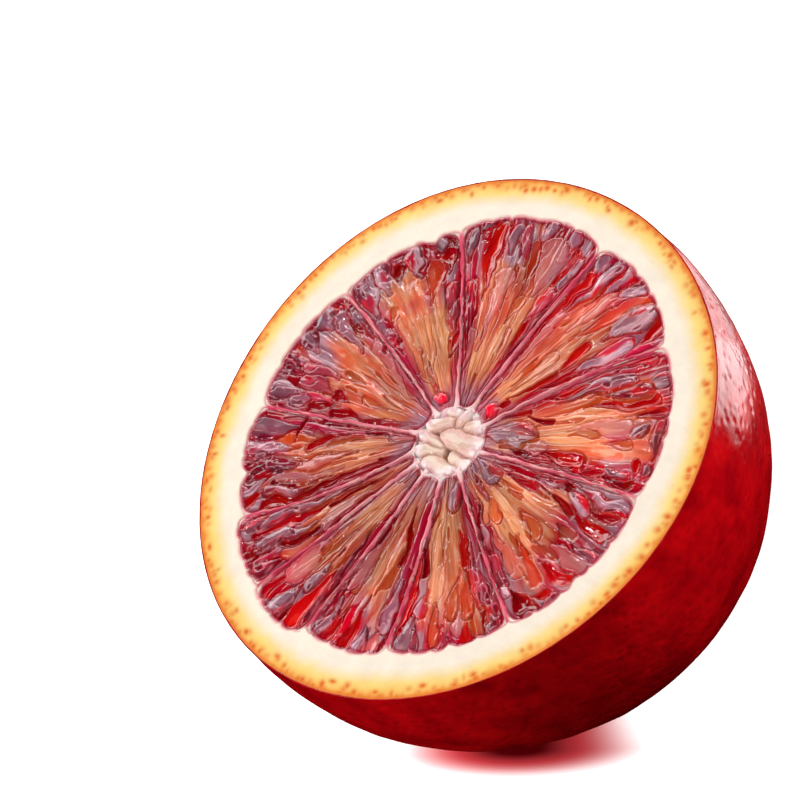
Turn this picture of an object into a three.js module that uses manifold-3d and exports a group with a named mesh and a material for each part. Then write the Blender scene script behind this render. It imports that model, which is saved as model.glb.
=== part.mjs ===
// Half of a blood orange, cut straight across its segments a little above the widest place.
// It stands on its rounded end with the cut face up. Units are millimetres and +Z is up.
// The origin is the centre of the small flat spot that the half rests on.
//
// The peel is a bowl of pith and skin. Inside it lie the wedges of pulp, one for each segment,
// and between them stands the core column with the membranes that run out from it like vanes.

import * as THREE from 'three';
import { mergeVertices } from 'three/addons/utils/BufferGeometryUtils.js';
import Module from 'manifold-3d';

// ---- driving dimensions ------------------------------------------------------------------

const EQUATOR_RADIUS = 36; // widest radius of the fruit
const POLE_DEPTH = 38.7; // from the widest place down to where the rounded end would close
const CUT_ABOVE_EQUATOR = 6.15; // how far above the widest place the knife went through
const REST_SPOT_RADIUS = 6; // flat spot on the rounded end
const THREE_SIDEDNESS = 0.009; // how far the round of the fruit swells at three sides, as a share
const PULP_END_DEPTH = 32.3; // from the widest place down to the end of the pulp
const CORE_CENTRE = [-0.9, -0.75]; // the core isn't quite in the middle of the cut
const CORE_RADIUS = 4.9; // at the cut
const CORE_END_RADIUS = 3.4; // at the end of the pulp
const CORE_LOBES = 7; // ridges of the core's white strands
const CORE_LOBE_HEIGHT = 0.25;
const MEMBRANE_THICKNESS = 0.7;
const GAP = 0.3; // clearance between neighbouring pieces

// Each membrane runs from the core to a notch in the pulp's outline. Angles are in degrees,
// counted anticlockwise from +X: at the notch, and round the core where the membrane starts.
// bow is how far the membrane's middle stands off the straight line, to the left going inwards.
// peak is the outline's largest radius in the segment that follows the membrane.
const MEMBRANES = [
	{ angle: 6.3, notch: 28.1, coreAngle: 14, bow: -0.4, peak: 30.2 },
	{ angle: 49.0, notch: 28.4, coreAngle: 40, bow: 0.4, peak: 29.5 },
	{ angle: 83.0, notch: 28.4, coreAngle: 72, bow: 0.3, peak: 29.6 },
	{ angle: 118.6, notch: 28.3, coreAngle: 109, bow: -0.2, peak: 29.6 },
	{ angle: 149.7, notch: 28.9, coreAngle: 138, bow: -1.2, peak: 30.6 },
	{ angle: 170.2, notch: 30.2, coreAngle: 163, bow: 0.1, peak: 31.1 },
	{ angle: 189.8, notch: 29.1, coreAngle: 188, bow: -0.2, peak: 29.9 },
	{ angle: 214.5, notch: 28.3, coreAngle: 220, bow: -0.4, peak: 29.5 },
	{ angle: 247.4, notch: 28.8, coreAngle: 249, bow: 0.3, peak: 30.0 },
	{ angle: 289.5, notch: 28.9, coreAngle: 290, bow: -0.3, peak: 29.9 },
	{ angle: 330.0, notch: 28.3, coreAngle: 333, bow: -0.8, peak: 29.9 },
];

// ---- heights and resolution --------------------------------------------------------------

const EQUATOR_HEIGHT = POLE_DEPTH * Math.sqrt( 1 - ( REST_SPOT_RADIUS / EQUATOR_RADIUS ) ** 2 );
const CUT_HEIGHT = EQUATOR_HEIGHT + CUT_ABOVE_EQUATOR;
const OVERCUT = 2; // how far a cutting body reaches past the cut face
const SKIN_SIDES = 72;
const SKIN_RINGS = 12;
const PULP_RINGS = 7;
const RINGS_ABOVE = 2;
const STEPS_PER_SEGMENT = 10;
const CORE_SIDES = 28;
const MEMBRANE_STEPS = 5;
const LOBE_SQUARENESS = 3; // 2 makes round lobes, and more makes them flatter along the pith
const LOBE_SHARPNESS = 0.45;
const OUTSIDE_RADIUS = 40; // anything out here is past the skin
const ROOT_IN_CORE = 0.6; // how far inside the core's surface each membrane starts
const SAME_POINT = 1e-4; // vertices closer than this are one
const SMALL_ANGLE = 1e-6; // in radians

const wasm = await Module();
wasm.setup();
const { degToRad, lerp } = THREE.MathUtils;

// ---- small helpers -----------------------------------------------------------------------

function polar( radius, angle, centre = [ 0, 0 ] ) {

	return new THREE.Vector2(
		centre[ 0 ] + radius * Math.cos( angle ),
		centre[ 1 ] + radius * Math.sin( angle )
	);

}

// A closed three.js geometry as a solid that can be joined and cut.
function toSolid( geometry ) {

	geometry.deleteAttribute( 'normal' );
	geometry.deleteAttribute( 'uv' );
	const merged = mergeVertices( geometry, SAME_POINT );
	const corners = Array.from( merged.index.array );
	const positions = merged.attributes.position;
	const triangles = [];

	for ( let i = 0; i < corners.length; i += 3 ) {

		const [ a, b, c ] = corners.slice( i, i + 3 );
		if ( a !== b && b !== c && c !== a ) triangles.push( a, b, c );

	}

	return new wasm.Manifold( new wasm.Mesh( {
		numProp: 3,
		vertProperties: new Float32Array( positions.array ),
		triVerts: new Uint32Array( triangles ),
	} ) );

}

function toGeometry( solid ) {

	const mesh = solid.getMesh();
	const geometry = new THREE.BufferGeometry();
	geometry.setAttribute( 'position', new THREE.BufferAttribute( mesh.vertProperties, 3 ) );
	geometry.setIndex( new THREE.BufferAttribute( mesh.triVerts, 1 ) );
	geometry.computeVertexNormals();
	return geometry;

}

// A lathed body about +Z. place( angle, radius ) gives the point for each vertex of the lathe,
// so the body can follow an outline that isn't round.
function turned( profile, sides, place ) {

	const points = profile.map( ( [ radius, height ] ) => new THREE.Vector2( radius, height ) );
	const geometry = new THREE.LatheGeometry( points, sides );
	geometry.rotateX( Math.PI / 2 );
	geometry.rotateZ( Math.PI / 2 );
	const positions = geometry.attributes.position;

	for ( let i = 0; i < positions.count; i ++ ) {

		const x = positions.getX( i );
		const y = positions.getY( i );
		const radius = Math.hypot( x, y );
		const turn = Math.atan2( y, x );
		const angle = turn < - SMALL_ANGLE ? turn + 2 * Math.PI : Math.max( turn, 0 );
		const point = place( angle, radius );
		positions.setXY( i, point.x, point.y );

	}

	return toSolid( geometry );

}

// A straight-sided body with the given outline, standing from the floor to past the cut face.
function upright( outline ) {

	const shape = new THREE.Shape( outline );
	const depth = CUT_HEIGHT + OVERCUT;
	return toSolid( new THREE.ExtrudeGeometry( shape, { depth, bevelEnabled: false } ) );

}

// Radius and height along an ellipse about the equator: rings steps from lowest up to the
// equator, where one ring always lies, and RINGS_ABOVE more up to the cut.
function bowlProfile( radius, depth, rings, lowest ) {

	const start = Math.acos( Math.min( 1, lowest / depth ) );
	const equator = Math.PI / 2;
	const end = equator + Math.asin( CUT_ABOVE_EQUATOR / depth );
	const angles = [];
	for ( let i = 0; i < rings; i ++ ) angles.push( lerp( start, equator, i / rings ) );
	for ( let i = 0; i <= RINGS_ABOVE; i ++ ) angles.push( lerp( equator, end, i / RINGS_ABOVE ) );
	return angles.map( ( angle ) => [
		radius * Math.sin( angle ),
		EQUATOR_HEIGHT - depth * Math.cos( angle ),
	] );

}

// ---- the outline of the pulp -------------------------------------------------------------

// Radius of the pulp's outline at the cut, a share t of the way across a segment.
function pulpRadius( segment, t ) {

	const here = MEMBRANES[ segment ];
	const next = MEMBRANES[ ( segment + 1 ) % MEMBRANES.length ];
	const notch = lerp( here.notch, next.notch, t );
	const fromMiddle = Math.abs( 2 * t - 1 );
	const lobe = ( 1 - fromMiddle ** LOBE_SQUARENESS ) ** LOBE_SHARPNESS;
	return notch + ( here.peak - notch ) * lobe;

}

function segmentEnds( segment ) {

	const start = MEMBRANES[ segment ].angle;
	const last = segment === MEMBRANES.length - 1;
	const end = last ? MEMBRANES[ 0 ].angle + 360 : MEMBRANES[ segment + 1 ].angle;
	return [ degToRad( start ), degToRad( end ) ];

}

// The bowl that the pulp fills, made smaller all round by inset.
function pulpBody( inset, top ) {

	const depth = PULP_END_DEPTH - inset;
	const atCut = Math.sqrt( 1 - ( CUT_ABOVE_EQUATOR / depth ) ** 2 );
	const profile = bowlProfile( 1 / atCut, depth, PULP_RINGS, depth );
	const rim = profile[ profile.length - 1 ][ 0 ];
	if ( top > CUT_HEIGHT ) profile.push( [ rim, top ] );
	profile.push( [ 0, top ] );
	const sides = MEMBRANES.length * STEPS_PER_SEGMENT;

	return turned( profile, sides, ( angle, share ) => {

		const step = Math.round( angle / ( 2 * Math.PI ) * sides ) % sides;
		const segment = Math.floor( step / STEPS_PER_SEGMENT );
		const t = ( step % STEPS_PER_SEGMENT ) / STEPS_PER_SEGMENT;
		const [ start, end ] = segmentEnds( segment );
		const bearing = lerp( start, end, t );
		return polar( share * ( pulpRadius( segment, t ) - inset ), bearing );

	} );

}

// ---- membranes and core ------------------------------------------------------------------

// Points along a membrane's middle line, from the core outwards, moved sideways by offset.
function membraneLine( index, offset ) {

	const { angle, notch, coreAngle, bow } = MEMBRANES[ index % MEMBRANES.length ];
	const inner = polar( CORE_RADIUS - ROOT_IN_CORE, degToRad( coreAngle ), CORE_CENTRE );
	const outer = polar( notch, degToRad( angle ) );
	const along = inner.clone().sub( outer ).normalize();
	const left = new THREE.Vector2( - along.y, along.x );
	const middle = inner.clone().lerp( outer, 0.5 ).addScaledVector( left, 2 * bow );
	const curve = new THREE.QuadraticBezierCurve( inner, middle, outer );
	const points = [];

	for ( let i = 0; i <= MEMBRANE_STEPS; i ++ ) {

		const t = i / MEMBRANE_STEPS;
		const tangent = curve.getTangent( t );
		const sideways = new THREE.Vector2( - tangent.y, tangent.x );
		points.push( curve.getPoint( t ).addScaledVector( sideways, offset ) );

	}

	const end = points[ points.length - 1 ];
	const reach = OUTSIDE_RADIUS - end.length();
	points.push( end.clone().addScaledVector( outer.clone().normalize(), reach ) );
	return points;

}

function membrane( index ) {

	const left = membraneLine( index, MEMBRANE_THICKNESS / 2 );
	const right = membraneLine( index, - MEMBRANE_THICKNESS / 2 );
	return upright( [ ...right, ...left.reverse() ] );

}

// The core column, with the low ridges of its strands, wider by grow all round.
function coreColumn( grow ) {

	const low = EQUATOR_HEIGHT - PULP_END_DEPTH - OVERCUT;
	const profile = [
		[ 0, low ],
		[ CORE_END_RADIUS + grow, low ],
		[ CORE_RADIUS + grow, CUT_HEIGHT + OVERCUT ],
		[ 0, CUT_HEIGHT + OVERCUT ],
	];

	return turned( profile, CORE_SIDES, ( angle, radius ) => {

		if ( radius === 0 ) return polar( 0, 0, CORE_CENTRE );
		return polar( radius + CORE_LOBE_HEIGHT * Math.cos( CORE_LOBES * angle ), angle, CORE_CENTRE );

	} );

}

function coreWithMembranes( room ) {

	const vanes = MEMBRANES.map( ( _, index ) => membrane( index ) );
	return vanes.reduce( ( joined, vane ) => joined.add( vane ), coreColumn( 0 ) ).intersect( room );

}

// ---- segments ----------------------------------------------------------------------------

// The wedge of pulp between two neighbouring membranes.
function segmentPulp( index, room, coreRoom ) {

	const clear = MEMBRANE_THICKNESS / 2 + GAP;
	const right = membraneLine( index, clear );
	const left = membraneLine( index + 1, - clear );
	return upright( [ ...right, ...left.reverse() ] ).intersect( room ).subtract( coreRoom );

}

// ---- peel --------------------------------------------------------------------------------

// The bowl of skin and pith, with the lobed hollow that holds the pulp.
function peelBowl() {

	const profile = [
		[ 0, 0 ],
		...bowlProfile( 1, POLE_DEPTH, SKIN_RINGS, EQUATOR_HEIGHT ),
		[ 0, CUT_HEIGHT ],
	];

	const whole = turned( profile, SKIN_SIDES, ( angle, share ) => {

		const swell = 1 - THREE_SIDEDNESS * Math.cos( 3 * angle );
		return polar( share * EQUATOR_RADIUS * swell, angle );

	} );

	return whole.subtract( pulpBody( 0, CUT_HEIGHT + OVERCUT ) );

}

// ---- the half ----------------------------------------------------------------------------

function piece( name, solid, color, roughness ) {

	const material = new THREE.MeshStandardMaterial( { color, roughness, metalness: 0 } );
	const mesh = new THREE.Mesh( toGeometry( solid ), material );
	mesh.name = name;
	return mesh;

}

const bloodOrangeHalf = new THREE.Group();
const pulpRoom = pulpBody( GAP, CUT_HEIGHT );
const coreRoom = coreColumn( GAP );

bloodOrangeHalf.add( piece( 'peel', peelBowl(), 0x8f0f10, 0.35 ) );
bloodOrangeHalf.add( piece( 'core_and_membranes', coreWithMembranes( pulpRoom ), 0xf3dccb, 0.7 ) );

MEMBRANES.forEach( ( _, index ) => {

	const number = String( index + 1 ).padStart( 2, '0' );
	const pulp = segmentPulp( index, pulpRoom, coreRoom );
	bloodOrangeHalf.add( piece( `segment_${ number }`, pulp, 0xb03a36, 0.25 ) );

} );

export default bloodOrangeHalf;
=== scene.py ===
"""Looks of a blood orange half that stands on its rounded end with the cut face up.

Lengths inside the functions are millimetres, in the part's own frame. put_points turns them
into metres as it writes them to a mesh. Angles of the fruit are degrees, anticlockwise from +X.
"""

import math
from collections import namedtuple

import bpy
import numpy as np
from bpy.props import FloatProperty, FloatVectorProperty, IntProperty, PointerProperty
from mathutils import Matrix, Vector, kdtree, noise


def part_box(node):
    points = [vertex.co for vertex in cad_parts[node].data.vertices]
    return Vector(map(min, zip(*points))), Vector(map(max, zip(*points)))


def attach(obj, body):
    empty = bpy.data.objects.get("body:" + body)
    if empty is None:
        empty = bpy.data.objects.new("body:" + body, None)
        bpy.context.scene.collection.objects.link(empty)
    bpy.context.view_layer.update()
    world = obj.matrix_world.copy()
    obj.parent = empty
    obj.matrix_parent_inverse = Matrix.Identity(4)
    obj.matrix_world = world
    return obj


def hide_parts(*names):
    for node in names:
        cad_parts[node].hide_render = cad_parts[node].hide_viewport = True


bl_info = {
    "name": "Blood orange half",
    "version": (1, 0, 0),
    "blender": (4, 5, 0),
    "location": "3D View > Sidebar > Blood orange",
    "description": "Builds a halved blood orange: skin, pith, core, membranes and juice sacs",
    "category": "Add Mesh",
}

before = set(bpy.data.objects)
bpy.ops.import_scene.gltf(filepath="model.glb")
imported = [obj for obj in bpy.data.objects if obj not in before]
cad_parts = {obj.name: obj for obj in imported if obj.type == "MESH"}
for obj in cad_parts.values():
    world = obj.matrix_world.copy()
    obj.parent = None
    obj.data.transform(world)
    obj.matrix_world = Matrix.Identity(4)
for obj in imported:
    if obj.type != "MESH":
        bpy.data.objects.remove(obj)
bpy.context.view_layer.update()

MM = 0.001

# ---- sizes, in millimetres ----------------------------------------------------------------

EQUATOR_RADIUS = 36.0
POLE_DEPTH = 38.7
REST_SPOT_RADIUS = 6.0
THREE_SIDEDNESS = 0.009
PULP_END_DEPTH = 32.3
CUT_ABOVE_EQUATOR = 6.15
EQUATOR_HEIGHT = POLE_DEPTH * math.sqrt(1 - (REST_SPOT_RADIUS / EQUATOR_RADIUS) ** 2)
CUT_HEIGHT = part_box("peel")[1].z / MM
CORE_CENTRE = np.array([-0.9, -0.75])
CORE_RADIUS = 4.9
CORE_END_RADIUS = 3.4
LOBE_SQUARENESS = 3
LOBE_SHARPNESS = 0.45

SKIN_THICKNESS = 1.3  # of the coloured layer, at the rim
RIM_ROUND = 0.22  # how far the knife's edge of the skin is rounded
PULP_LEVEL = -0.34  # ordinary height of the juice sacs, from the cut face
HIGHEST_SAC = -0.03  # the knife left nothing above this
PITH_EDGE = -0.24  # level where pulp and pith have grown together
MEMBRANE_HALF_WIDTH = 0.22
SAME_POINT = 1e-6  # metres: points this close are one
SAC_EDGE_CLEARANCE = 0.12  # between a membrane's middle and the nearest sac

# Each membrane: its angle and radius at the pith, its angle round the core, how far its middle
# stands off the straight line, and the pulp's largest radius in the segment that follows.
Membrane = namedtuple("Membrane", "angle notch core_angle bow peak")
MEMBRANES = [
    Membrane(6.3, 28.1, 14, -0.4, 30.2),
    Membrane(49.0, 28.4, 40, 0.4, 29.5),
    Membrane(83.0, 28.4, 72, 0.3, 29.6),
    Membrane(118.6, 28.3, 109, -0.2, 29.6),
    Membrane(149.7, 28.9, 138, -1.2, 30.6),
    Membrane(170.2, 30.2, 163, 0.1, 31.1),
    Membrane(189.8, 29.1, 188, -0.2, 29.9),
    Membrane(214.5, 28.3, 220, -0.4, 29.5),
    Membrane(247.4, 28.8, 249, 0.3, 30.0),
    Membrane(289.5, 28.9, 290, -0.3, 29.9),
    Membrane(330.0, 28.3, 333, -0.8, 29.9),
]
SEGMENTS = len(MEMBRANES)

# Places where the pith pushes into the pulp's outline: angle, depth and half-width.
OUTLINE_DENTS = [(57.0, 0.8, 1.1), (138.0, 0.7, 1.0), (266.0, 0.6, 0.9), (232.0, 0.35, 0.8)]

# ---- kinds of juice sac -------------------------------------------------------------------

# centre and edge are colours. rise is how far the middle stands above (or lies below) the edge.
Kind = namedtuple("Kind", "centre edge rise")
KINDS = {
    "amber": Kind("#e0926a", "#d07450", 0.05),
    "coral": Kind("#d86a4e", "#c84c3c", 0.05),
    "blush": Kind("#c87c7a", "#bc4650", 0.10),
    "flame": Kind("#cc3418", "#b82010", -0.10),
    "rust": Kind("#c85018", "#bc4018", -0.10),
    "scarlet": Kind("#bc0408", "#a20008", -0.32),
    "ruby": Kind("#a4000c", "#8a0010", -0.36),
    "wine": Kind("#98102c", "#940618", 0.16),
    "mauve": Kind("#a01c3c", "#a00418", 0.26),
    "rose": Kind("#c04456", "#a8122c", 0.14),
    "raspberry": Kind("#e00a2c", "#b80620", 0.30),
}

# The sacs that stand out, by segment: kind, angle and radius of the thin tip, angle and radius
# of the round end, and half-width. Smaller ones between them are scattered by filler_sacs.
FEATURED_SACS = [
    [
        ("mauve", 46.5, 24, 46, 28, 1.1), ("mauve", 42, 27, 42, 29.3, 1.3),
        ("ruby", 41, 26.6, 41.3, 28, 0.8), ("mauve", 40, 24.5, 38, 29.5, 0.5),
        ("scarlet", 38.5, 19, 37.2, 28, 1.7), ("coral", 34.5, 21, 35.3, 29.5, 0.45),
        ("ruby", 34, 24.5, 34.3, 28.5, 0.4), ("blush", 35, 12, 32.5, 22, 1.0),
        ("mauve", 32, 25, 31.5, 28.5, 0.8), ("rose", 27, 23.5, 29, 28.5, 0.8),
        ("flame", 24, 19, 24.5, 26.5, 0.8), ("rust", 22.5, 15.8, 22.5, 19, 0.6),
        ("blush", 19, 20, 18.5, 26.5, 1.8), ("mauve", 23.5, 26.5, 23, 29.5, 1.1),
        ("mauve", 15, 26, 14.5, 29.2, 1.0), ("scarlet", 15.5, 20.5, 12, 27, 0.5),
        ("rose", 13.5, 16, 13, 21, 1.1), ("scarlet", 11.5, 11.5, 12.8, 16.5, 0.5),
        ("mauve", 12, 20.5, 11, 26, 0.9),
    ],
    [
        ("mauve", 55.5, 27, 55.5, 28, 1.2), ("ruby", 53.5, 23.5, 54, 26.3, 1.0),
        ("ruby", 51.5, 26.5, 51.8, 28.8, 0.8), ("flame", 60, 19.5, 57.5, 25, 1.3),
        ("mauve", 62.5, 24.5, 62.5, 28.3, 1.2), ("ruby", 68.5, 24.8, 67, 27, 1.0),
        ("mauve", 72.5, 24.5, 72, 28.5, 1.6), ("mauve", 78.5, 22.5, 77.5, 28.5, 1.6),
        ("scarlet", 71, 29.2, 61, 29.2, 0.35), ("mauve", 80, 15, 79.5, 21, 1.0),
        ("ruby", 79.2, 15.8, 79, 17.4, 0.6), ("rust", 77, 20.3, 73, 22, 0.5),
        ("rose", 52, 13, 50.5, 21, 0.9), ("scarlet", 52, 11.5, 49.5, 14.5, 0.8),
        ("raspberry", 73, 4.2, 68.0, 4.95, 1.2),
    ],
    [
        ("mauve", 92, 25.5, 91, 28.8, 1.8), ("scarlet", 86, 27, 85.5, 29.3, 0.8),
        ("mauve", 91, 20, 88.2, 26.5, 1.1), ("mauve", 85.5, 19.5, 84.8, 25.5, 0.8),
        ("ruby", 86.5, 21.2, 86.3, 22.6, 0.4), ("ruby", 86.5, 15.5, 86, 17.5, 0.65),
        ("scarlet", 98, 28.8, 92, 29.2, 0.5), ("mauve", 98, 25, 97.5, 28, 1.2),
        ("flame", 101.5, 24.5, 102, 28.5, 0.6), ("wine", 106.5, 25.5, 105.5, 29, 1.6),
        ("mauve", 113, 24.5, 113.5, 28, 1.4), ("mauve", 115.5, 23, 115.5, 25, 0.9),
        ("rose", 111, 19.5, 109, 24.5, 1.3), ("rose", 105, 20, 104, 25, 0.8),
        ("ruby", 115, 17.5, 117, 22.5, 0.8), ("ruby", 113.5, 16.5, 111, 19, 0.9),
        ("rust", 103, 15.5, 102.3, 19, 0.5), ("rust", 107, 11.5, 109.5, 14.5, 0.4),
        ("scarlet", 113, 5.2, 117, 11, 0.7), ("ruby", 114, 9, 117.5, 13, 0.5),
        ("blush", 88, 8, 86.5, 19, 0.6),
    ],
    [
        ("mauve", 124.5, 22.5, 124, 28.3, 1.8), ("mauve", 130.5, 21.5, 130, 28, 1.3),
        ("wine", 135, 24, 135, 28.8, 1.0), ("mauve", 141.5, 25.5, 141.5, 29.3, 1.2),
        ("scarlet", 145.5, 26.5, 145, 29.6, 1.0), ("ruby", 128, 22.4, 121, 21.6, 0.35),
        ("scarlet", 128.5, 14.2, 131.5, 20, 0.7), ("rust", 131, 12, 133, 17, 0.3),
        ("scarlet", 120.5, 12.5, 121.5, 5.8, 0.6), ("blush", 122.5, 12, 129, 5.4, 0.3),
        ("rust", 139, 14, 134, 24.5, 0.35), ("rust", 144, 13, 139.5, 25, 0.35),
        ("blush", 146, 15, 143.5, 24, 0.8), ("ruby", 147.5, 16, 144.5, 25, 0.5),
        ("mauve", 148.5, 18, 146.5, 26, 0.7), ("scarlet", 152.5, 9, 148.8, 26.5, 0.65),
        ("ruby", 150, 6.5, 149, 9, 0.4),
    ],
    [
        ("rose", 153.5, 25, 153, 29, 1.0), ("mauve", 158, 13, 155, 27, 1.2),
        ("ruby", 162, 12, 157.5, 28.5, 0.6), ("mauve", 163, 19.5, 160.8, 28, 0.9),
        ("scarlet", 162.5, 28, 161.5, 30.3, 0.9), ("ruby", 166, 18, 163.5, 25, 0.7),
        ("rust", 168.5, 18.5, 166.5, 25, 0.9), ("blush", 167.5, 12, 166.5, 18.5, 0.9),
        ("scarlet", 165, 8, 161.5, 17, 0.4), ("rose", 167, 25.5, 166.5, 29.8, 0.8),
        ("ruby", 154.5, 19, 152, 27.5, 0.4),
    ],
    [
        ("ruby", 173.5, 25.5, 173, 30, 0.6), ("rust", 177, 16, 175.5, 21, 0.5),
        ("mauve", 178.5, 25.5, 178, 30.2, 1.4), ("ruby", 181, 28.5, 181.5, 30.3, 0.7),
        ("scarlet", 186.5, 20, 184.5, 30, 1.5), ("mauve", 183, 19, 182, 25.5, 1.0),
        ("rust", 181.5, 16, 179.5, 23, 0.8), ("rose", 188, 14, 187.5, 29, 0.45),
    ],
    [
        ("mauve", 194.5, 23.5, 193.5, 29.3, 1.3), ("ruby", 197.5, 24.5, 196.5, 29.3, 1.1),
        ("wine", 192, 20.5, 191.5, 25.5, 0.8), ("blush", 195, 13, 194.5, 21.5, 1.0),
        ("rust", 198, 17, 196.5, 22.5, 0.4), ("scarlet", 203, 22.5, 202, 29.8, 0.8),
        ("mauve", 206.5, 26, 206, 29.3, 0.8), ("flame", 210, 26, 209.5, 28.5, 1.0),
        ("mauve", 212.5, 19.5, 211.5, 25.5, 1.0), ("ruby", 212.5, 27, 211.8, 29, 0.8),
        ("ruby", 196.5, 9.5, 192.8, 16.5, 0.4), ("scarlet", 210, 10, 208.5, 17, 0.45),
    ],
    [
        ("scarlet", 218.5, 15, 216, 26, 1.3), ("mauve", 220.5, 25, 219.8, 28.6, 1.6),
        ("mauve", 222.5, 21, 221.8, 24.5, 0.6), ("rust", 226, 22, 227.5, 28, 0.8),
        ("amber", 228, 12, 225.5, 22, 1.1), ("rust", 234.5, 19.5, 232, 25, 1.0),
        ("rose", 229.5, 26.3, 229.5, 29, 1.0), ("blush", 234.5, 25.2, 234, 27, 0.9),
        ("scarlet", 237, 26.2, 236.5, 29.2, 1.3), ("flame", 238.5, 18.5, 237, 25.5, 0.7),
        ("rose", 241, 16, 242.5, 24.5, 1.1), ("scarlet", 243, 21.5, 242, 27, 0.6),
        ("mauve", 243.8, 25.5, 243.5, 28.3, 1.0), ("scarlet", 238, 13.5, 239.5, 18.5, 0.6),
        ("mauve", 240, 5.8, 236, 10, 1.0), ("ruby", 223, 9, 220.5, 19, 0.4),
    ],
    [
        ("rose", 251, 15, 249.5, 23, 0.8), ("mauve", 249.5, 21, 248.8, 25, 0.7),
        ("ruby", 250, 12.5, 248, 16.5, 0.45), ("mauve", 251.5, 11.5, 250.5, 18, 0.5),
        ("ruby", 251, 24.5, 252.5, 28, 1.3), ("mauve", 252.5, 27.6, 252, 29, 0.8),
        ("scarlet", 255, 27.2, 259, 28, 0.8), ("mauve", 255.5, 29.2, 260.5, 29.2, 0.5),
        ("scarlet", 263, 23.5, 264.5, 28.5, 0.9), ("flame", 261.5, 18.5, 258.5, 25.5, 0.7),
        ("blush", 268, 23.5, 268.5, 28.8, 1.2), ("rose", 272, 26, 271.5, 29.3, 0.6),
        ("rust", 266, 16.5, 265.5, 21, 0.6), ("rust", 272.5, 22, 273, 25, 0.7),
        ("rust", 259.5, 10.5, 259, 15, 0.5), ("scarlet", 279, 22, 277.5, 28.3, 0.9),
        ("mauve", 277.5, 27.5, 277, 29.3, 0.8), ("ruby", 282.5, 25, 283, 28, 0.8),
        ("mauve", 285, 20.5, 286, 28.8, 0.9), ("mauve", 282.5, 19.5, 280.5, 24.5, 0.9),
        ("ruby", 283.5, 16.5, 283, 20.5, 0.5), ("mauve", 282, 14, 283.5, 19, 0.5),
        ("ruby", 278, 11.5, 276.5, 15.5, 0.5), ("scarlet", 279.5, 15.5, 277, 23, 0.35),
        ("mauve", 270, 6.3, 272, 10, 1.0), ("rose", 262, 6, 257, 12, 0.6),
    ],
    [
        ("mauve", 306, 5.3, 303, 10.5, 2.0), ("ruby", 291.5, 7.8, 291, 12, 0.45),
        ("blush", 297, 8, 296.5, 13, 1.2), ("scarlet", 292.5, 12.8, 294.5, 18.8, 1.1),
        ("ruby", 292, 19, 292.5, 21.8, 0.7), ("ruby", 291.8, 21.8, 292, 26.5, 0.7),
        ("mauve", 294, 21.5, 294, 25.5, 0.6), ("scarlet", 294, 26.8, 298, 26.8, 0.7),
        ("mauve", 293.5, 28.2, 296.5, 28.6, 0.7), ("rose", 299.5, 28.8, 309, 28.8, 0.6),
        ("mauve", 305.5, 26, 307.5, 26.6, 0.9), ("rust", 305.5, 16.5, 306, 20.5, 0.8),
        ("rust", 302.5, 21.5, 304, 25.5, 0.7), ("scarlet", 317.5, 18.5, 315.5, 27, 0.9),
        ("wine", 321.5, 20.5, 319.5, 26, 1.2), ("mauve", 325, 15, 323.8, 24, 1.2),
        ("mauve", 321.5, 26, 321, 28.3, 1.3), ("scarlet", 327, 12.5, 326.3, 19, 0.5),
        ("ruby", 318, 10.5, 315.5, 14, 0.35), ("rose", 328, 16, 327.5, 27, 0.5),
    ],
    [
        ("raspberry", 335, 5.0, 337, 5.6, 1.1), ("ruby", 337, 6.5, 337.5, 8, 0.5),
        ("flame", 350.5, 18.5, 344.5, 30, 1.1), ("blush", 353, 19, 352, 26.5, 0.8),
        ("mauve", 341.5, 22, 341.5, 27.6, 2.3), ("mauve", 336.5, 17, 334.5, 24, 1.1),
        ("scarlet", 340.5, 14.5, 343, 19.8, 0.8), ("scarlet", 342.5, 8, 341, 15, 0.35),
        ("ruby", 337.5, 11.5, 334.5, 17, 0.6), ("scarlet", 333, 25.5, 335.5, 29.3, 1.2),
        ("ruby", 337.5, 29.2, 343, 29.2, 0.6), ("mauve", 351.5, 26, 349.5, 29.3, 1.2),
        ("ruby", 357, 23, 357, 28.5, 0.7), ("mauve", 361, 20, 359, 29, 1.1),
        ("mauve", 363.5, 26, 363.5, 29.3, 1.0), ("scarlet", 365, 10, 363.8, 26.5, 0.55),
        ("blush", 361.5, 10, 360.5, 20, 0.8), ("rust", 359, 15, 358.8, 20.5, 0.35),
    ],
]

# How golden the flesh in the middle of each segment is; the rest of it is coral.
AMBER_SHARE = [0.28, 0.72, 0.18, 0.18, 0.18, 0.40, 0.35, 0.68, 0.52, 0.48, 0.22]
# How much further out than usual the flesh reaches, as a share of the way to the pith.
FLESH_REACH = [0.09, 0.02, 0.02, 0.00, -0.12, 0.11, 0.03, 0.03, 0.14, 0.15, 0.14]
# How bright each segment's flesh is, and its sacs next to the pith.
FLESH_GLOW = [1.00, 1.08, 1.00, 0.96, 0.86, 0.82, 0.84, 0.88, 1.03, 1.08, 1.12]
OUTER_GLOW = [0.95, 0.86, 1.00, 1.05, 1.00, 1.14, 1.28, 1.05, 1.10, 1.30, 1.20]

# ---- settings a user can change -----------------------------------------------------------


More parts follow.
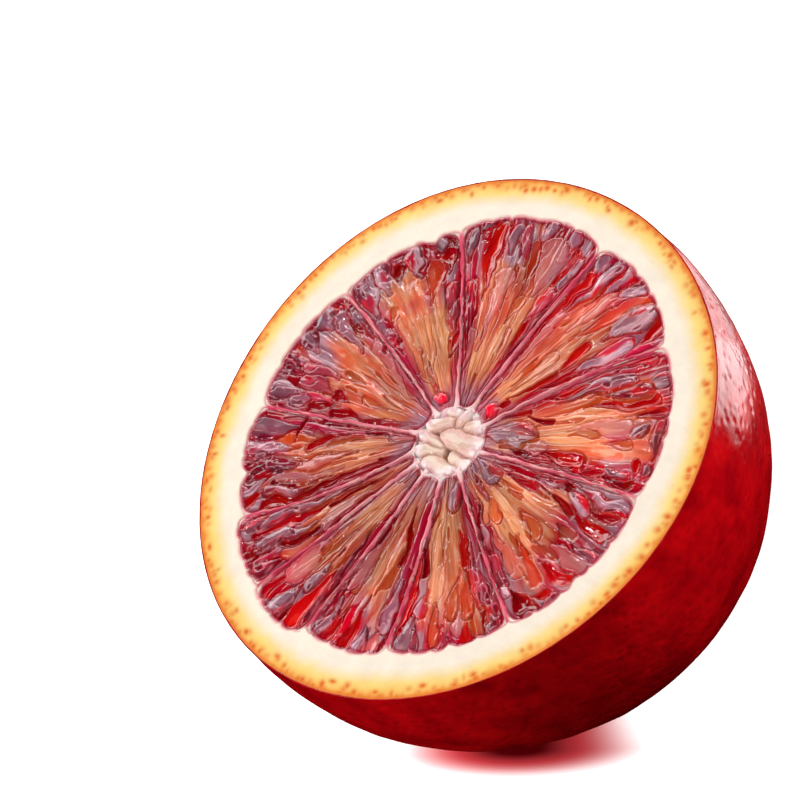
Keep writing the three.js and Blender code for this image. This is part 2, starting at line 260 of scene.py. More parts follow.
class BloodOrangeSettings(bpy.types.PropertyGroup):
    """Sizes and colours of the half."""

    pore_spacing: FloatProperty(
        name="Pore spacing", description="Between neighbouring pores of the skin",
        default=1.35 * MM, unit="LENGTH", precision=5,
    )
    pore_depth: FloatProperty(
        name="Pore depth", description="Deepest pores of the skin",
        default=0.15 * MM, unit="LENGTH", precision=5,
    )
    gland_count: IntProperty(
        name="Oil glands", description="Oil glands that the knife opened round the rim",
        default=330,
    )
    relief: FloatProperty(
        name="Sac relief", description="How strongly the juice sacs stand out",
        default=1.0, subtype="FACTOR",
    )
    seed: IntProperty(
        name="Seed", description="Draws the small sacs, glands and pores anew", default=7,
    )
    skin_colour: FloatVectorProperty(
        name="Skin", description="Colour of the skin, as linear light",
        default=(0.60, 0.0018, 0.0046), subtype="COLOR", size=3,
    )


# ---- small helpers ------------------------------------------------------------------------


def linear(hex_colour):
    """An sRGB hex colour as linear light, with an alpha of 1."""
    channels = [int(hex_colour[i:i + 2], 16) / 255 for i in (1, 3, 5)]
    lit = [c / 12.92 if c <= 0.04045 else ((c + 0.055) / 1.055) ** 2.4 for c in channels]
    return (*lit, 1.0)


def colour(hex_colour):
    return np.array(linear(hex_colour)[:3])


def smoothstep(low, high, value):
    t = np.clip((value - low) / (high - low), 0, 1)
    return t * t * (3 - 2 * t)


def mix(a, b, share):
    """Between a and b, point by point."""
    return a + (b - a) * np.asarray(share)[..., None]


def blend(start, end, share):
    """Between two hex colours, point by point."""
    return mix(colour(start), colour(end), share)


def over(tint, *layers):
    """Lays colours over a tint in turn: pairs of a hex colour, or one per point, and its share."""
    for shade, share in layers:
        tint = mix(tint, colour(shade) if isinstance(shade, str) else shade, share)
    return tint


def bell(value, width):
    return np.exp(-((value / width) ** 2))


def lattice_noise(x, y, seed):
    """Smooth noise from -1 to 1, with features about one unit across."""
    column = np.floor(x).astype(np.int64)
    row = np.floor(y).astype(np.int64)
    across = x - column
    up = y - row
    across = across**3 * (across * (across * 6 - 15) + 10)
    up = up**3 * (up * (up * 6 - 15) + 10)

    def corner(dx, dy):
        mixed = (column + dx) * 374761393 + (row + dy) * 668265263 + seed * 974634777
        mixed &= 0xFFFFFFFF
        mixed = ((mixed ^ (mixed >> 13)) * 1274126177) & 0xFFFFFFFF
        return ((mixed ^ (mixed >> 16)) & 0xFFFF) / 32767.5 - 1

    low = corner(0, 0) * (1 - across) + corner(1, 0) * across
    high = corner(0, 1) * (1 - across) + corner(1, 1) * across
    return low * (1 - up) + high * up


def layered_noise(x, y, seed, layers=3):
    total = sum(lattice_noise(x * 2**i, y * 2**i, seed + i) / 2**i for i in range(layers))
    return total / 1.5


def polar(radius, degrees):
    turn = np.radians(degrees)
    return np.stack([radius * np.cos(turn), radius * np.sin(turn)], -1)


def beside(x, y, start, end):
    """How far points lie along a line and beside it, the share along it, and the gap to it."""
    line = np.subtract(end, start)
    length = np.linalg.norm(line)
    ahead_x, ahead_y = line / length
    off_x, off_y = x - start[0], y - start[1]
    forward = off_x * ahead_x + off_y * ahead_y
    sideways = off_y * ahead_x - off_x * ahead_y
    along = np.clip(forward / length, 0, 1)
    return forward, sideways, along, np.hypot(forward - along * length, sideways)


def bearing(where):
    """The angles of points, in degrees."""
    return np.degrees(np.arctan2(where[:, 1], where[:, 0]))


def distance(where):
    """How far points lie from the fruit's axis."""
    return np.hypot(where[:, 0], where[:, 1])


def angle_off(degrees, angle):
    """From an angle to others, in degrees from -180 to 180."""
    return (np.asarray(degrees) - angle + 180) % 360 - 180


# ---- outlines -----------------------------------------------------------------------------


def segment_place(degrees):
    """Which segment an angle lies in, and how far across it."""
    starts = np.array([m.angle for m in MEMBRANES])
    turned = (np.asarray(degrees) - starts[0]) % 360 + starts[0]
    segment = np.searchsorted(starts, turned, side="right") - 1
    ends = np.append(starts[1:], starts[0] + 360)
    share = (turned - starts[segment]) / (ends[segment] - starts[segment])
    return segment, share


def pulp_outline(degrees):
    """Radius of the pulp's outline at the cut, with the bumps of the sacs' round ends."""
    segment, share = segment_place(degrees)
    notch = np.array([m.notch for m in MEMBRANES])
    peak = np.array([m.peak for m in MEMBRANES])
    low = notch[segment] + (notch[(segment + 1) % SEGMENTS] - notch[segment]) * share
    from_middle = np.abs(2 * share - 1)
    lobe = (1 - from_middle**LOBE_SQUARENESS) ** LOBE_SHARPNESS
    radius = low + (peak[segment] - low) * lobe
    arc = np.radians(segment * 20 + share * 30) * radius
    wander = lattice_noise(arc / 3.1, segment * 7.3, 11)
    scallop = 1 - np.abs(np.sin(np.pi * (arc / 3.4 + 0.5 * wander)))
    inside = smoothstep(0.04, 0.16, np.minimum(share, 1 - share))
    radius = radius - inside * 0.3 * scallop**2.2
    for angle, depth, half_width in OUTLINE_DENTS:
        off = np.radians(angle_off(degrees, angle)) * radius
        radius = radius - depth * bell(off, half_width)
    return radius


def bowl_share(height, depth):
    """Width of an ellipse about the equator at a height, as a share of its widest."""
    return np.sqrt(np.clip(1 - ((EQUATOR_HEIGHT - height) / depth) ** 2, 0, 1))


def skin_radius(degrees, height):
    swell = 1 - THREE_SIDEDNESS * np.cos(3 * np.radians(degrees))
    return EQUATOR_RADIUS * swell * bowl_share(height, POLE_DEPTH)


def membrane_curve(index, steps=60):
    """Points along a membrane's middle line, from the core out to the pith."""
    membrane = MEMBRANES[index % SEGMENTS]
    inner = CORE_CENTRE + polar(CORE_RADIUS - 0.6, membrane.core_angle)
    outer = polar(membrane.notch, membrane.angle)
    along = (inner - outer) / np.linalg.norm(inner - outer)
    left = np.array([-along[1], along[0]])
    middle = (inner + outer) / 2 + 2 * membrane.bow * left
    t = np.linspace(0, 1, steps)[:, None]
    return (1 - t) ** 2 * inner + 2 * t * (1 - t) * middle + t**2 * outer


def membrane_angle(index, radius):
    """The membrane's angle at a radius, in degrees that grow past 360 after the last one."""
    curve = membrane_curve(index)
    far = np.hypot(curve[:, 0], curve[:, 1])
    turn = np.degrees(np.unwrap(np.arctan2(curve[:, 1], curve[:, 0])))
    nominal = MEMBRANES[index % SEGMENTS].angle + 360 * (index // SEGMENTS)
    turn += 360 * np.round((nominal - turn[-1]) / 360)
    order = np.argsort(far)
    return np.interp(radius, far[order], turn[order])


# ---- meshes -------------------------------------------------------------------------------


def deselect_all():
    if bpy.context.object and bpy.context.object.mode != "OBJECT":
        bpy.ops.object.mode_set(mode="OBJECT")
    bpy.ops.object.select_all(action="DESELECT")


def new_piece(name):
    """Names the primitive that was just added."""
    piece = bpy.context.object
    piece.name = name
    piece.data.name = name
    return piece


def add_grid(name, columns, rows):
    """A flat grid to be shaped, with the share across and up of each of its points."""
    deselect_all()
    bpy.ops.mesh.primitive_grid_add(x_subdivisions=columns - 1, y_subdivisions=rows - 1, size=1)
    piece = new_piece(name)
    where = mesh_points(piece) + 0.5
    return piece, where[:, 0], where[:, 1]


def mesh_points(piece):
    found = np.empty(len(piece.data.vertices) * 3)
    piece.data.vertices.foreach_get("co", found)
    return found.reshape(-1, 3)


def put_points(piece, where):
    """Writes the mesh's points, given in millimetres."""
    piece.data.vertices.foreach_set("co", (np.asarray(where) * MM).ravel())
    piece.data.update()


def paint(piece, tint):
    """Stores a colour for each point of the piece, in the attribute tint."""
    rgba = np.ones((len(piece.data.vertices), 4))
    rgba[:, :3] = np.clip(tint, 0, 1)
    layer = piece.data.color_attributes.new("tint", "FLOAT_COLOR", "POINT")
    layer.data.foreach_set("color", rgba.ravel())


def edit(piece, action=None):
    """Opens the piece in edit mode, with all of its points selected or none, or as they were."""
    deselect_all()
    bpy.context.view_layer.objects.active = piece
    piece.select_set(True)
    bpy.ops.object.mode_set(mode="EDIT")
    bpy.ops.mesh.select_mode(type="VERT")
    if action:
        bpy.ops.mesh.select_all(action=action)


def edit_open_edge(piece):
    edit(piece, "DESELECT")
    bpy.ops.mesh.select_non_manifold(
        extend=False, use_wire=False, use_multi_face=False,
        use_non_contiguous=False, use_verts=False,
    )


def extrude_edge(piece, drop, outline, *details):
    """Extrudes the open edge to a new outline at a level this far below the cut face."""
    before = len(piece.data.vertices)
    edit_open_edge(piece)
    bpy.ops.mesh.extrude_edges_move()
    bpy.ops.object.mode_set(mode="OBJECT")
    where = mesh_points(piece) / MM
    level = CUT_HEIGHT - drop
    where[before:, :2] = outline(where[before:], level, *details)
    where[before:, 2] = level
    put_points(piece, where)


def close_edge(piece, chosen=None):
    """Gathers the open edge, or the chosen part of it, into one point."""
    edit_open_edge(piece)
    if chosen:
        bpy.ops.object.mode_set(mode="OBJECT")
        keep = chosen(mesh_points(piece) / MM)
        picked = np.empty(len(keep), bool)
        piece.data.vertices.foreach_get("select", picked)
        piece.data.vertices.foreach_set("select", picked & keep)
        bpy.ops.object.mode_set(mode="EDIT")
    bpy.ops.mesh.merge(type="CENTER")
    bpy.ops.object.mode_set(mode="OBJECT")


def merge_close(piece, spacing, action=None):
    """Merges the selected points that lie closer together than this, in metres."""
    edit(piece, action)
    bpy.ops.mesh.remove_doubles(threshold=spacing)
    bpy.ops.object.mode_set(mode="OBJECT")


def finish_piece(piece, material, node):
    edit(piece, "SELECT")
    bpy.ops.mesh.normals_make_consistent(inside=False)
    bpy.ops.object.mode_set(mode="OBJECT")
    bpy.ops.object.shade_smooth()
    piece.data.materials.clear()
    piece.data.materials.append(material)
    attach(piece, "root")
    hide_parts(node)
    faces = sum(len(p.vertices) - 2 for p in piece.data.polygons)
    print(f"{piece.name}: {faces} triangles")


# ---- materials ----------------------------------------------------------------------------


def add_node(tree, kind, sockets=None, **settings):
    """Adds a node, sets its properties, and fills or links its sockets by name or number."""
    made = tree.nodes.new(kind)
    for name, value in settings.items():
        setattr(made, name, value)
    for name, value in (sockets or {}).items():
        if isinstance(value, bpy.types.NodeSocket):
            tree.links.new(value, made.inputs[name])
        else:
            made.inputs[name].default_value = value
    return made


def new_material(name):
    """An empty material, its tree, and the place that its patterns are drawn at."""
    material = bpy.data.materials.new(name)
    material.use_nodes = True
    tree = material.node_tree
    tree.nodes.clear()
    return material, tree, add_node(tree, "ShaderNodeTexCoord").outputs["Object"]


def tint_of(tree):
    """The colour that each point of a piece carries."""
    return add_node(tree, "ShaderNodeAttribute", attribute_name="tint").outputs["Color"]


def end_material(material, shader):
    add_node(material.node_tree, "ShaderNodeOutputMaterial", {"Surface": shader.outputs["BSDF"]})
    return material


def wet_juice_sacs():
    """Thin clear skins full of juice: a wet film over light that comes back out coloured."""
    material, tree, place = new_material("wet_juice_sacs")
    # Fine wrinkles of the sacs' skins, about 0.5 mm apart.
    wrinkles = add_node(tree, "ShaderNodeTexNoise", {
        "Vector": place, "Scale": 1 / (0.5 * MM), "Detail": 3.0, "Roughness": 0.55,
    })
    # Drier and wetter places, about 4 mm across.
    damp = add_node(tree, "ShaderNodeTexNoise", {"Vector": place, "Scale": 1 / (4 * MM)})
    rough = add_node(tree, "ShaderNodeMapRange", {
        "Value": damp.outputs["Fac"], "From Min": 0.3, "From Max": 0.7,
        "To Min": 0.06, "To Max": 0.18,
    })
    bump = add_node(tree, "ShaderNodeBump", {
        "Height": wrinkles.outputs["Fac"], "Strength": 0.22, "Distance": 0.10 * MM,
    })
    shader = add_node(tree, "ShaderNodeBsdfPrincipled", {
        "Base Color": tint_of(tree),
        "Roughness": rough.outputs["Result"],
        "Normal": bump.outputs["Normal"],
        "IOR": 1.37,
        "Subsurface Weight": 0.22,
        "Subsurface Radius": (1.0, 0.3, 0.16),
        "Subsurface Scale": 0.6 * MM,
        "Coat Weight": 1.0,
        "Coat Roughness": 0.05,
        "Coat IOR": 1.36,
    })
    return end_material(material, shader)


def moist_membrane():
    """Thin tough tissue between the segments: satin, slightly translucent and damp."""
    material, tree, place = new_material("moist_membrane")
    # Fibres about 0.25 mm apart.
    fibres = add_node(tree, "ShaderNodeTexNoise", {
        "Vector": place, "Scale": 1 / (0.25 * MM), "Detail": 2.0,
    })
    bump = add_node(tree, "ShaderNodeBump", {
        "Height": fibres.outputs["Fac"], "Strength": 0.3, "Distance": 0.08 * MM,
    })
    shader = add_node(tree, "ShaderNodeBsdfPrincipled", {
        "Base Color": tint_of(tree),
        "Roughness": 0.4,
        "Normal": bump.outputs["Normal"],
        "IOR": 1.38,
        "Subsurface Weight": 0.3,
        "Subsurface Radius": (1.0, 0.5, 0.35),
        "Subsurface Scale": 0.8 * MM,
    })
    return end_material(material, shader)


def spongy_pith():
    """Dry air-filled tissue: quite matte, with light spreading a little way inside."""
    material, tree, place = new_material("spongy_pith")
    # Torn sponge cells of about 0.3 mm.
    sponge = add_node(tree, "ShaderNodeTexNoise", {
        "Vector": place, "Scale": 1 / (0.3 * MM), "Detail": 4.0, "Roughness": 0.6,
    })
    # Faint clouds of about 2.5 mm where the tissue is denser.
    clouds = add_node(tree, "ShaderNodeTexNoise", {"Vector": place, "Scale": 1 / (2.5 * MM)})
    shade = add_node(tree, "ShaderNodeMapRange", {
        "Value": clouds.outputs["Fac"], "From Min": 0.3, "From Max": 0.7,
        "To Min": 0.96, "To Max": 1.04,
    })
    clouded = add_node(tree, "ShaderNodeVectorMath", {
        0: tint_of(tree), "Scale": shade.outputs["Result"],
    }, operation="SCALE")
    bump = add_node(tree, "ShaderNodeBump", {
        "Height": sponge.outputs["Fac"], "Strength": 0.35, "Distance": 0.12 * MM,
    })
    shader = add_node(tree, "ShaderNodeBsdfPrincipled", {
        "Base Color": clouded.outputs["Vector"],
        "Roughness": 0.7,
        "Normal": bump.outputs["Normal"],
        "IOR": 1.4,
        "Subsurface Weight": 0.25,
        "Subsurface Radius": (1.0, 0.7, 0.4),
        "Subsurface Scale": 0.5 * MM,
    })
    return end_material(material, shader)


def waxy_skin(skin_colour):
    """Citrus skin under its own wax: a deep colour, and highlights broken up by the pores."""
    material, tree, place = new_material("waxy_skin")
    # Mottling of about 5 mm, between the skin's own red and a darker one.
    mottle = add_node(tree, "ShaderNodeTexNoise", {
        "Vector": place, "Scale": 1 / (5 * MM), "Detail": 4.0, "Roughness": 0.6,
    })
    patch = add_node(tree, "ShaderNodeMapRange", {
        "Value": mottle.outputs["Fac"], "From Min": 0.35, "From Max": 0.65,
    })
    ground = add_node(tree, "ShaderNodeMix", {
        0: patch.outputs["Result"], 6: (*skin_colour, 1.0), 7: linear("#9e000b"),
    }, data_type="RGBA")
    tinted = add_node(tree, "ShaderNodeMix", {
        0: 1.0, 6: ground.outputs[2], 7: tint_of(tree),
    }, data_type="RGBA", blend_type="MULTIPLY")
    # Skin cells of about 0.25 mm, seen as a fine grain in the wax.
    grain = add_node(tree, "ShaderNodeTexNoise", {
        "Vector": place, "Scale": 1 / (0.25 * MM), "Detail": 2.0,
    })
    bump = add_node(tree, "ShaderNodeBump", {
        "Height": grain.outputs["Fac"], "Strength": 0.18, "Distance": 0.05 * MM,
    })
    shader = add_node(tree, "ShaderNodeBsdfPrincipled", {
        "Base Color": tinted.outputs[2],
        "Roughness": 0.24,
        "Normal": bump.outputs["Normal"],
        "IOR": 1.44,
        "Specular IOR Level": 0.35,
    })
    return end_material(material, shader)


# The painted red shadow on the board: a round spot, and a half oval with its middle, turn and half
# sizes.
UNDER_SPOT = 15 * MM
OVAL_CENTRE = (-23.0 * MM, -7.5 * MM, 0)
OVAL_TURN = math.radians(-50)
OVAL_LONG = 18.3 * MM
OVAL_OUTWARD = 3.9 * MM
OVAL_INWARD = 26 * MM
OVAL_TAPER = 0.18


def white_sweep():
    """Matt white studio board that glows of itself, with a painted red shadow round the fruit's
    foot.
    """
    material, tree, place = new_material("white_sweep")
    # Paper tooth of about 2 mm, too faint to show as a pattern.
    tooth = add_node(tree, "ShaderNodeTexNoise", {"Vector": place, "Scale": 1 / (2 * MM)})
    bump = add_node(tree, "ShaderNodeBump", {
        "Height": tooth.outputs["Fac"], "Strength": 0.02, "Distance": 0.05 * MM,
    })
    # The board glows as if lit from behind, but for the spot that the fruit stands on and the long
    # half oval that this spot runs out into: there the glow fades, and a painted shadow, dark red
    # at its core and tinted with the fruit's red as a painted bounce of its light, takes the
    # board's colour.
    under = add_node(tree, "ShaderNodeMapping", {
        "Vector": place, "Scale": (UNDER_SPOT, UNDER_SPOT, 1),
    }, vector_type="TEXTURE")
    before = add_node(tree, "ShaderNodeMapping", {
        "Vector": place, "Location": OVAL_CENTRE, "Rotation": (0, 0, OVAL_TURN),
        "Scale": (OVAL_LONG, OVAL_OUTWARD, 1),
    }, vector_type="TEXTURE")
    split = add_node(tree, "ShaderNodeSeparateXYZ", {"Vector": before.outputs["Vector"]})
    outward, inward, one_end = (
        add_node(tree, "ShaderNodeMath", {0: split.outputs[axis], 1: 0.0}, operation=operation)
        for axis, operation in (("Y", "MINIMUM"), ("Y", "MAXIMUM"), ("X", "MAXIMUM"))
    )
    # The side towards the fruit is longer, and tapers at one end.
    stretched = add_node(tree, "ShaderNodeMath", {
        0: inward.outputs["Value"], 1: OVAL_OUTWARD / OVAL_INWARD, 2: outward.outputs["Value"],
    }, operation="MULTIPLY_ADD")
    oval = add_node(tree, "ShaderNodeCombineXYZ", {
        "X": split.outputs["X"], "Y": stretched.outputs["Value"],
    })
    taper = add_node(tree, "ShaderNodeMath", {
        0: one_end.outputs["Value"], 1: inward.outputs["Value"],
    }, operation="MULTIPLY")
    far = [
        add_node(tree, "ShaderNodeVectorMath", {0: spot.outputs["Vector"]}, operation="LENGTH")
        for spot in (under, oval)
    ]
    tapered = add_node(tree, "ShaderNodeMath", {
        0: taper.outputs["Value"], 1: OVAL_TAPER, 2: far[1].outputs["Value"],
    }, operation="MULTIPLY_ADD")
    nearest = add_node(tree, "ShaderNodeMath", {
        0: far[0].outputs["Value"], 1: tapered.outputs["Value"],
    }, operation="MINIMUM")
    # Painted shadow: the board's colour turns dark red towards the middle of the spot and oval,
    # while its glow fades.
    backlight, depth, whiteness = (
        add_node(tree, "ShaderNodeMapRange", {
            "Value": nearest.outputs["Value"], "From Min": low, "From Max": high, "To Max": most,
        }, interpolation_type="SMOOTHSTEP")
        for low, high, most in ((0.45, 1.15, 0.85), (0.15, 0.55, 1.0), (0.45, 1.15, 1.0))
    )
    red = add_node(tree, "ShaderNodeMix", {
        0: depth.outputs["Result"], 6: linear("#64020a"), 7: linear("#f04a52"),
    }, data_type="RGBA")
    board = add_node(tree, "ShaderNodeMix", {
        0: whiteness.outputs["Result"], 6: red.outputs[2], 7: linear("#fbfafa"),
    }, data_type="RGBA")
    shader = add_node(tree, "ShaderNodeBsdfPrincipled", {
        "Base Color": board.outputs[2],
        "Roughness": 0.6,
        "Specular IOR Level": 0.0,
        "Normal": bump.outputs["Normal"],
        "Emission Color": board.outputs[2],
        "Emission Strength": backlight.outputs["Result"],
    })
    return end_material(material, shader)


def dark_velvet():
    """Swallows nearly all the light."""
    material, tree, place = new_material("dark_velvet")
    return end_material(material, add_node(tree, "ShaderNodeBsdfPrincipled", {
        "Base Color": linear("#38100e"), "Roughness": 1.0,
    }))


# ---- skin ---------------------------------------------------------------------------------

ICO_SUBDIVISIONS = 8
GOLDEN_ANGLE = math.pi * (3 - math.sqrt(5))
PORE_CROWDING = 0.87  # area for each pore, as a share of the square of their spacing
PORE_JOSTLE = 0.22  # how far the pores stray, as a share of their spacing
PORE_RADII = (0.42 / 1.35, 0.72 / 1.35)  # smallest and largest, as shares of their spacing
HIDDEN_SPACING = 1.6 * MM  # of the points that are never seen
# Steps over the knife's edge: how far inside the skin, and how far below the cut face.
CUT_EDGE = [(0.02, 0.12), (0.06, 0.06), (0.12, 0.06), (0.30, 0.18)]
SKIN_DROPS = [8.0, 20.0, 31.0, 38.0]  # rings of the skin's inner side, below the cut face


def scatter_pores(spacing, rng):
    """Evenly spread, slightly jostled points over the outside of the bowl."""
    tall = POLE_DEPTH + CUT_ABOVE_EQUATOR
    count = int(math.tau * EQUATOR_RADIUS * tall / (PORE_CROWDING * spacing**2))
    turn = np.arange(count) * GOLDEN_ANGLE
    upward = (np.arange(count) + 0.5) / count * tall - POLE_DEPTH
    around = EQUATOR_RADIUS * np.sqrt(1 - np.clip(upward / POLE_DEPTH, -1, 1) ** 2)
    spots = bowl_points(around, turn, EQUATOR_HEIGHT + upward)
    return spots + rng.normal(0, PORE_JOSTLE * spacing, spots.shape)


def bowl_points(radius, turn, height):
    """Points at a radius, an angle in radians and a height."""
    return np.stack([radius * np.cos(turn), radius * np.sin(turn), height], -1)


def lumps(where, size):
    """Noise from -1 to 1 in space, with features about this many millimetres across."""
    return np.array([noise.noise(Vector(point) / size) for point in where])


def pore_shape(where, spots, radii, depths):
    """How deep each point lies in the nearest pore, in millimetres, and as a share."""
    tree = kdtree.KDTree(len(spots))
    for i, spot in enumerate(spots):
        tree.insert(spot, i)
    tree.balance()
    found = [tree.find(point)[1:] for point in where]
    nearest = np.array([f[0] for f in found])
    gap = np.array([f[1] for f in found])
    share = np.clip(1 - (gap / radii[nearest]) ** 2, 0, 1) ** 2
    return share * depths[nearest], share


def make_skin(settings):
    rng = np.random.default_rng(settings.seed)
    deselect_all()
    bpy.ops.mesh.primitive_ico_sphere_add(subdivisions=ICO_SUBDIVISIONS, radius=1)
    skin = new_piece("peel_skin")
    rim = CUT_HEIGHT - RIM_ROUND
    edit(skin, "SELECT")
    bpy.ops.mesh.bisect(
        plane_co=(0, 0, (rim - EQUATOR_HEIGHT) / POLE_DEPTH), plane_no=(0, 0, 1),
        clear_outer=True,
    )
    bpy.ops.object.mode_set(mode="OBJECT")
    where = mesh_points(skin)
    height = EQUATOR_HEIGHT + where[:, 2] * POLE_DEPTH
    turn = np.arctan2(where[:, 1], where[:, 0])
    around = EQUATOR_RADIUS * np.hypot(where[:, 0], where[:, 1])
    around *= 1 - THREE_SIDEDNESS * np.cos(3 * turn)
    where = bowl_points(around, turn, height)

    spacing = settings.pore_spacing / MM
    spots = scatter_pores(spacing, rng)
    radii = rng.uniform(*PORE_RADII, len(spots)) * spacing
    depths = rng.uniform(0.35, 1.0, len(spots)) * settings.pore_depth / MM
    pits, pore = pore_shape(where, spots, radii, depths)
    sunk = pits + 0.12 * (lumps(where, 6.5) + 1) + 0.05 * (lumps(where, 2.2) + 1)
    at_rest = smoothstep(0.3, 2.5, height)
    calm_rim = smoothstep(CUT_HEIGHT - 0.2, CUT_HEIGHT - 2.0, height)
    radii = np.array([EQUATOR_RADIUS, EQUATOR_RADIUS, POLE_DEPTH])
    outward = (where - (0, 0, EQUATOR_HEIGHT)) / radii**2
    outward /= np.linalg.norm(outward, axis=1)[:, None]
    where -= outward * (sunk * at_rest * (0.35 + 0.65 * calm_rim))[:, None]
    where[:, 2] = np.maximum(where[:, 2], 0)
    put_points(skin, where)

    # The pores are painted darker, a painted shade in their dents; the large blotches are the
    # skin's own uneven colour.
    shade = 0.87 * (1 - 0.12 * pore + 0.15 * lumps(where, 15))
    paint(skin, shade[:, None])
    skin.data.vertices.foreach_set("select", where[:, 2] <= 0)
    merge_close(skin, HIDDEN_SPACING)
    for inwards, drop in CUT_EDGE:
        extrude_edge(skin, drop, inside_skin, inwards)
    first, *deeper = SKIN_DROPS
    extrude_edge(skin, first, inside_skin, SKIN_THICKNESS)
    merge_close(skin, HIDDEN_SPACING)
    for drop in deeper:
        extrude_edge(skin, drop, inside_skin, SKIN_THICKNESS)
    close_edge(skin)
    finish_piece(skin, waxy_skin(settings.skin_colour), "peel")


def inside_skin(found, level, inwards):
    """The skin's outline at a level, and this far inside it."""
    turned = bearing(found)
    return polar(skin_radius(turned, level) - inwards, turned)


# ---- pith ---------------------------------------------------------------------------------

PITH_STEPS_ROUND = 1260
PITH_STEPS_ACROSS = 44
PITH_DROPS = [1.0, 10.0, 22.0, 32.0]  # rings of both walls, below the cut face
PITH_INSET = 1.0  # how far inside the skin's outside the pith's outer wall runs


def gland_marks(turned, radius, rim, count, rng):
    """How strongly each point of the cut rim lies in an opened oil gland."""
    marks = np.zeros(len(turned))
    angles = (np.arange(count) + rng.uniform(-0.9, 0.9, count)) * 360 / count
    for angle in angles:
        depth = rng.triangular(0.15, 0.40, 1.9)
        half_wide = rng.uniform(0.28, 0.58)
        half_long = rng.uniform(0.28, 0.58)
        strength = rng.uniform(0.4, 1.1)
        off = np.radians(angle_off(turned, angle)) * radius
        near = np.abs(off) < 3 * half_wide
        inward = rim[near] - depth - radius[near]
        inside = bell(off[near], half_wide) * bell(inward, half_long)
        marks[near] = np.maximum(marks[near], strength * inside)
    return marks


def make_pith(settings):
    rng = np.random.default_rng(settings.seed + 100)
    pith, u, v = add_grid("peel_pith", PITH_STEPS_ROUND + 1, PITH_STEPS_ACROSS)
    turned = 360 * u
    inner = pulp_outline(turned)
    rim = skin_radius(turned, CUT_HEIGHT)
    outer = rim - 0.10
    radius = inner + (outer - inner) * v
    share = radius / rim
    from_pulp = radius - inner
    x, y = polar(radius, turned).T
    glands = gland_marks(turned, radius, rim, settings.gland_count, rng)

    sponge = layered_noise(x / 0.8, y / 0.8, 21)
    swells = lattice_noise(x / 3.2, y / 3.2, 22)
    height = CUT_HEIGHT - 0.08 + 0.025 * sponge + 0.03 * swells
    height += (CUT_HEIGHT + PITH_EDGE - height) * smoothstep(0.35, 0.0, from_pulp)
    height -= 0.03 * glands
    height -= 0.03 * smoothstep(0.6, 0.0, outer - radius)
    put_points(pith, np.column_stack([x, y, np.minimum(height, CUT_HEIGHT - 0.02)]))

    wander = 0.008 * layered_noise(x / 2.0, y / 2.0, 23) + 0.006 * lattice_noise(x / 7, y / 7, 24)
    patchy = 0.75 + 0.25 * lattice_noise(x / 1.5, y / 1.5, 26)
    blush = smoothstep(0.50, 0.0, from_pulp + 0.10 * lattice_noise(x / 1.1, y / 1.1, 25))
    place = share + wander
    paint(pith, over(
        colour("#f9ead8"),
        ("#fad67c", smoothstep(0.885, 0.955, place)),
        ("#f8a42c", 0.8 * patchy * smoothstep(0.945, 0.985, place)),
        ("#e46608", np.clip(glands, 0, 1)),
        ("#ee7c22", 0.95 * smoothstep(0.976, 0.993, share)),
        ("#e4808a", 0.80 * blush**1.5),
        ("#f7ddc9", 0.25 * smoothstep(0.2, 0.8, sponge) * (share < 0.93)),
    ))
    merge_close(pith, SAME_POINT, "SELECT")
    for drop in PITH_DROPS:
        extrude_edge(pith, drop, pith_walls)
    level = CUT_HEIGHT - PITH_DROPS[-1]
    split = sum(wall_radii(0.0, level)) / 2
    close_edge(pith, lambda found: distance(found) < split)
    close_edge(pith)
    finish_piece(pith, spongy_pith(), "peel")


def wall_radii(degrees, level):
    """Radii of the pith's hollow round the pulp, and of its outside within the skin."""
    hollow = pulp_outline(degrees) * bowl_share(level, PULP_END_DEPTH)
    hollow /= bowl_share(CUT_HEIGHT, PULP_END_DEPTH)
    return hollow, skin_radius(degrees, level) - PITH_INSET


def pith_walls(found, level):
    """Takes the inner edge down round the pulp, and the outer edge down inside the skin."""
    turned = bearing(found)
    hollow, shell = wall_radii(turned, level)
    return polar(np.where(distance(found) > (hollow + shell) / 2, shell, hollow), turned)


# ---- core ---------------------------------------------------------------------------------

CORE_STEPS = 190
CORE_RINGS = [(1.5, 4.6), (18.0, 4.1), (36.0, CORE_END_RADIUS)]  # drop and radius

# The strands of the core, cut aslant: from where to where, in millimetres from the core's
# middle, the half-width at the start and at the end, and how high they stand.
CORE_STRANDS = [
    (0.45, 0.80, 2.10, -4.6, 1.45, 1.45, 0.16),
    (-1.55, 4.3, -0.95, 1.0, 0.62, 0.95, 0.02),
    (-3.2, 2.8, -1.75, 0.1, 0.95, 0.85, 0.06),
    (-3.3, 0.4, -2.4, -3.3, 1.15, 0.90, 0.08),
    (-0.9, -1.9, -0.8, -4.5, 0.85, 1.05, 0.05),
    (0.2, 3.9, 1.7, 2.3, 1.05, 1.25, 0.08),
    (2.4, 3.7, 3.5, 2.4, 1.0, 1.05, 0.04),
    (2.5, 1.1, 4.2, 1.3, 1.05, 1.0, 0.05),
    (2.9, -0.6, 4.1, -1.8, 1.1, 1.05, 0.02),
]


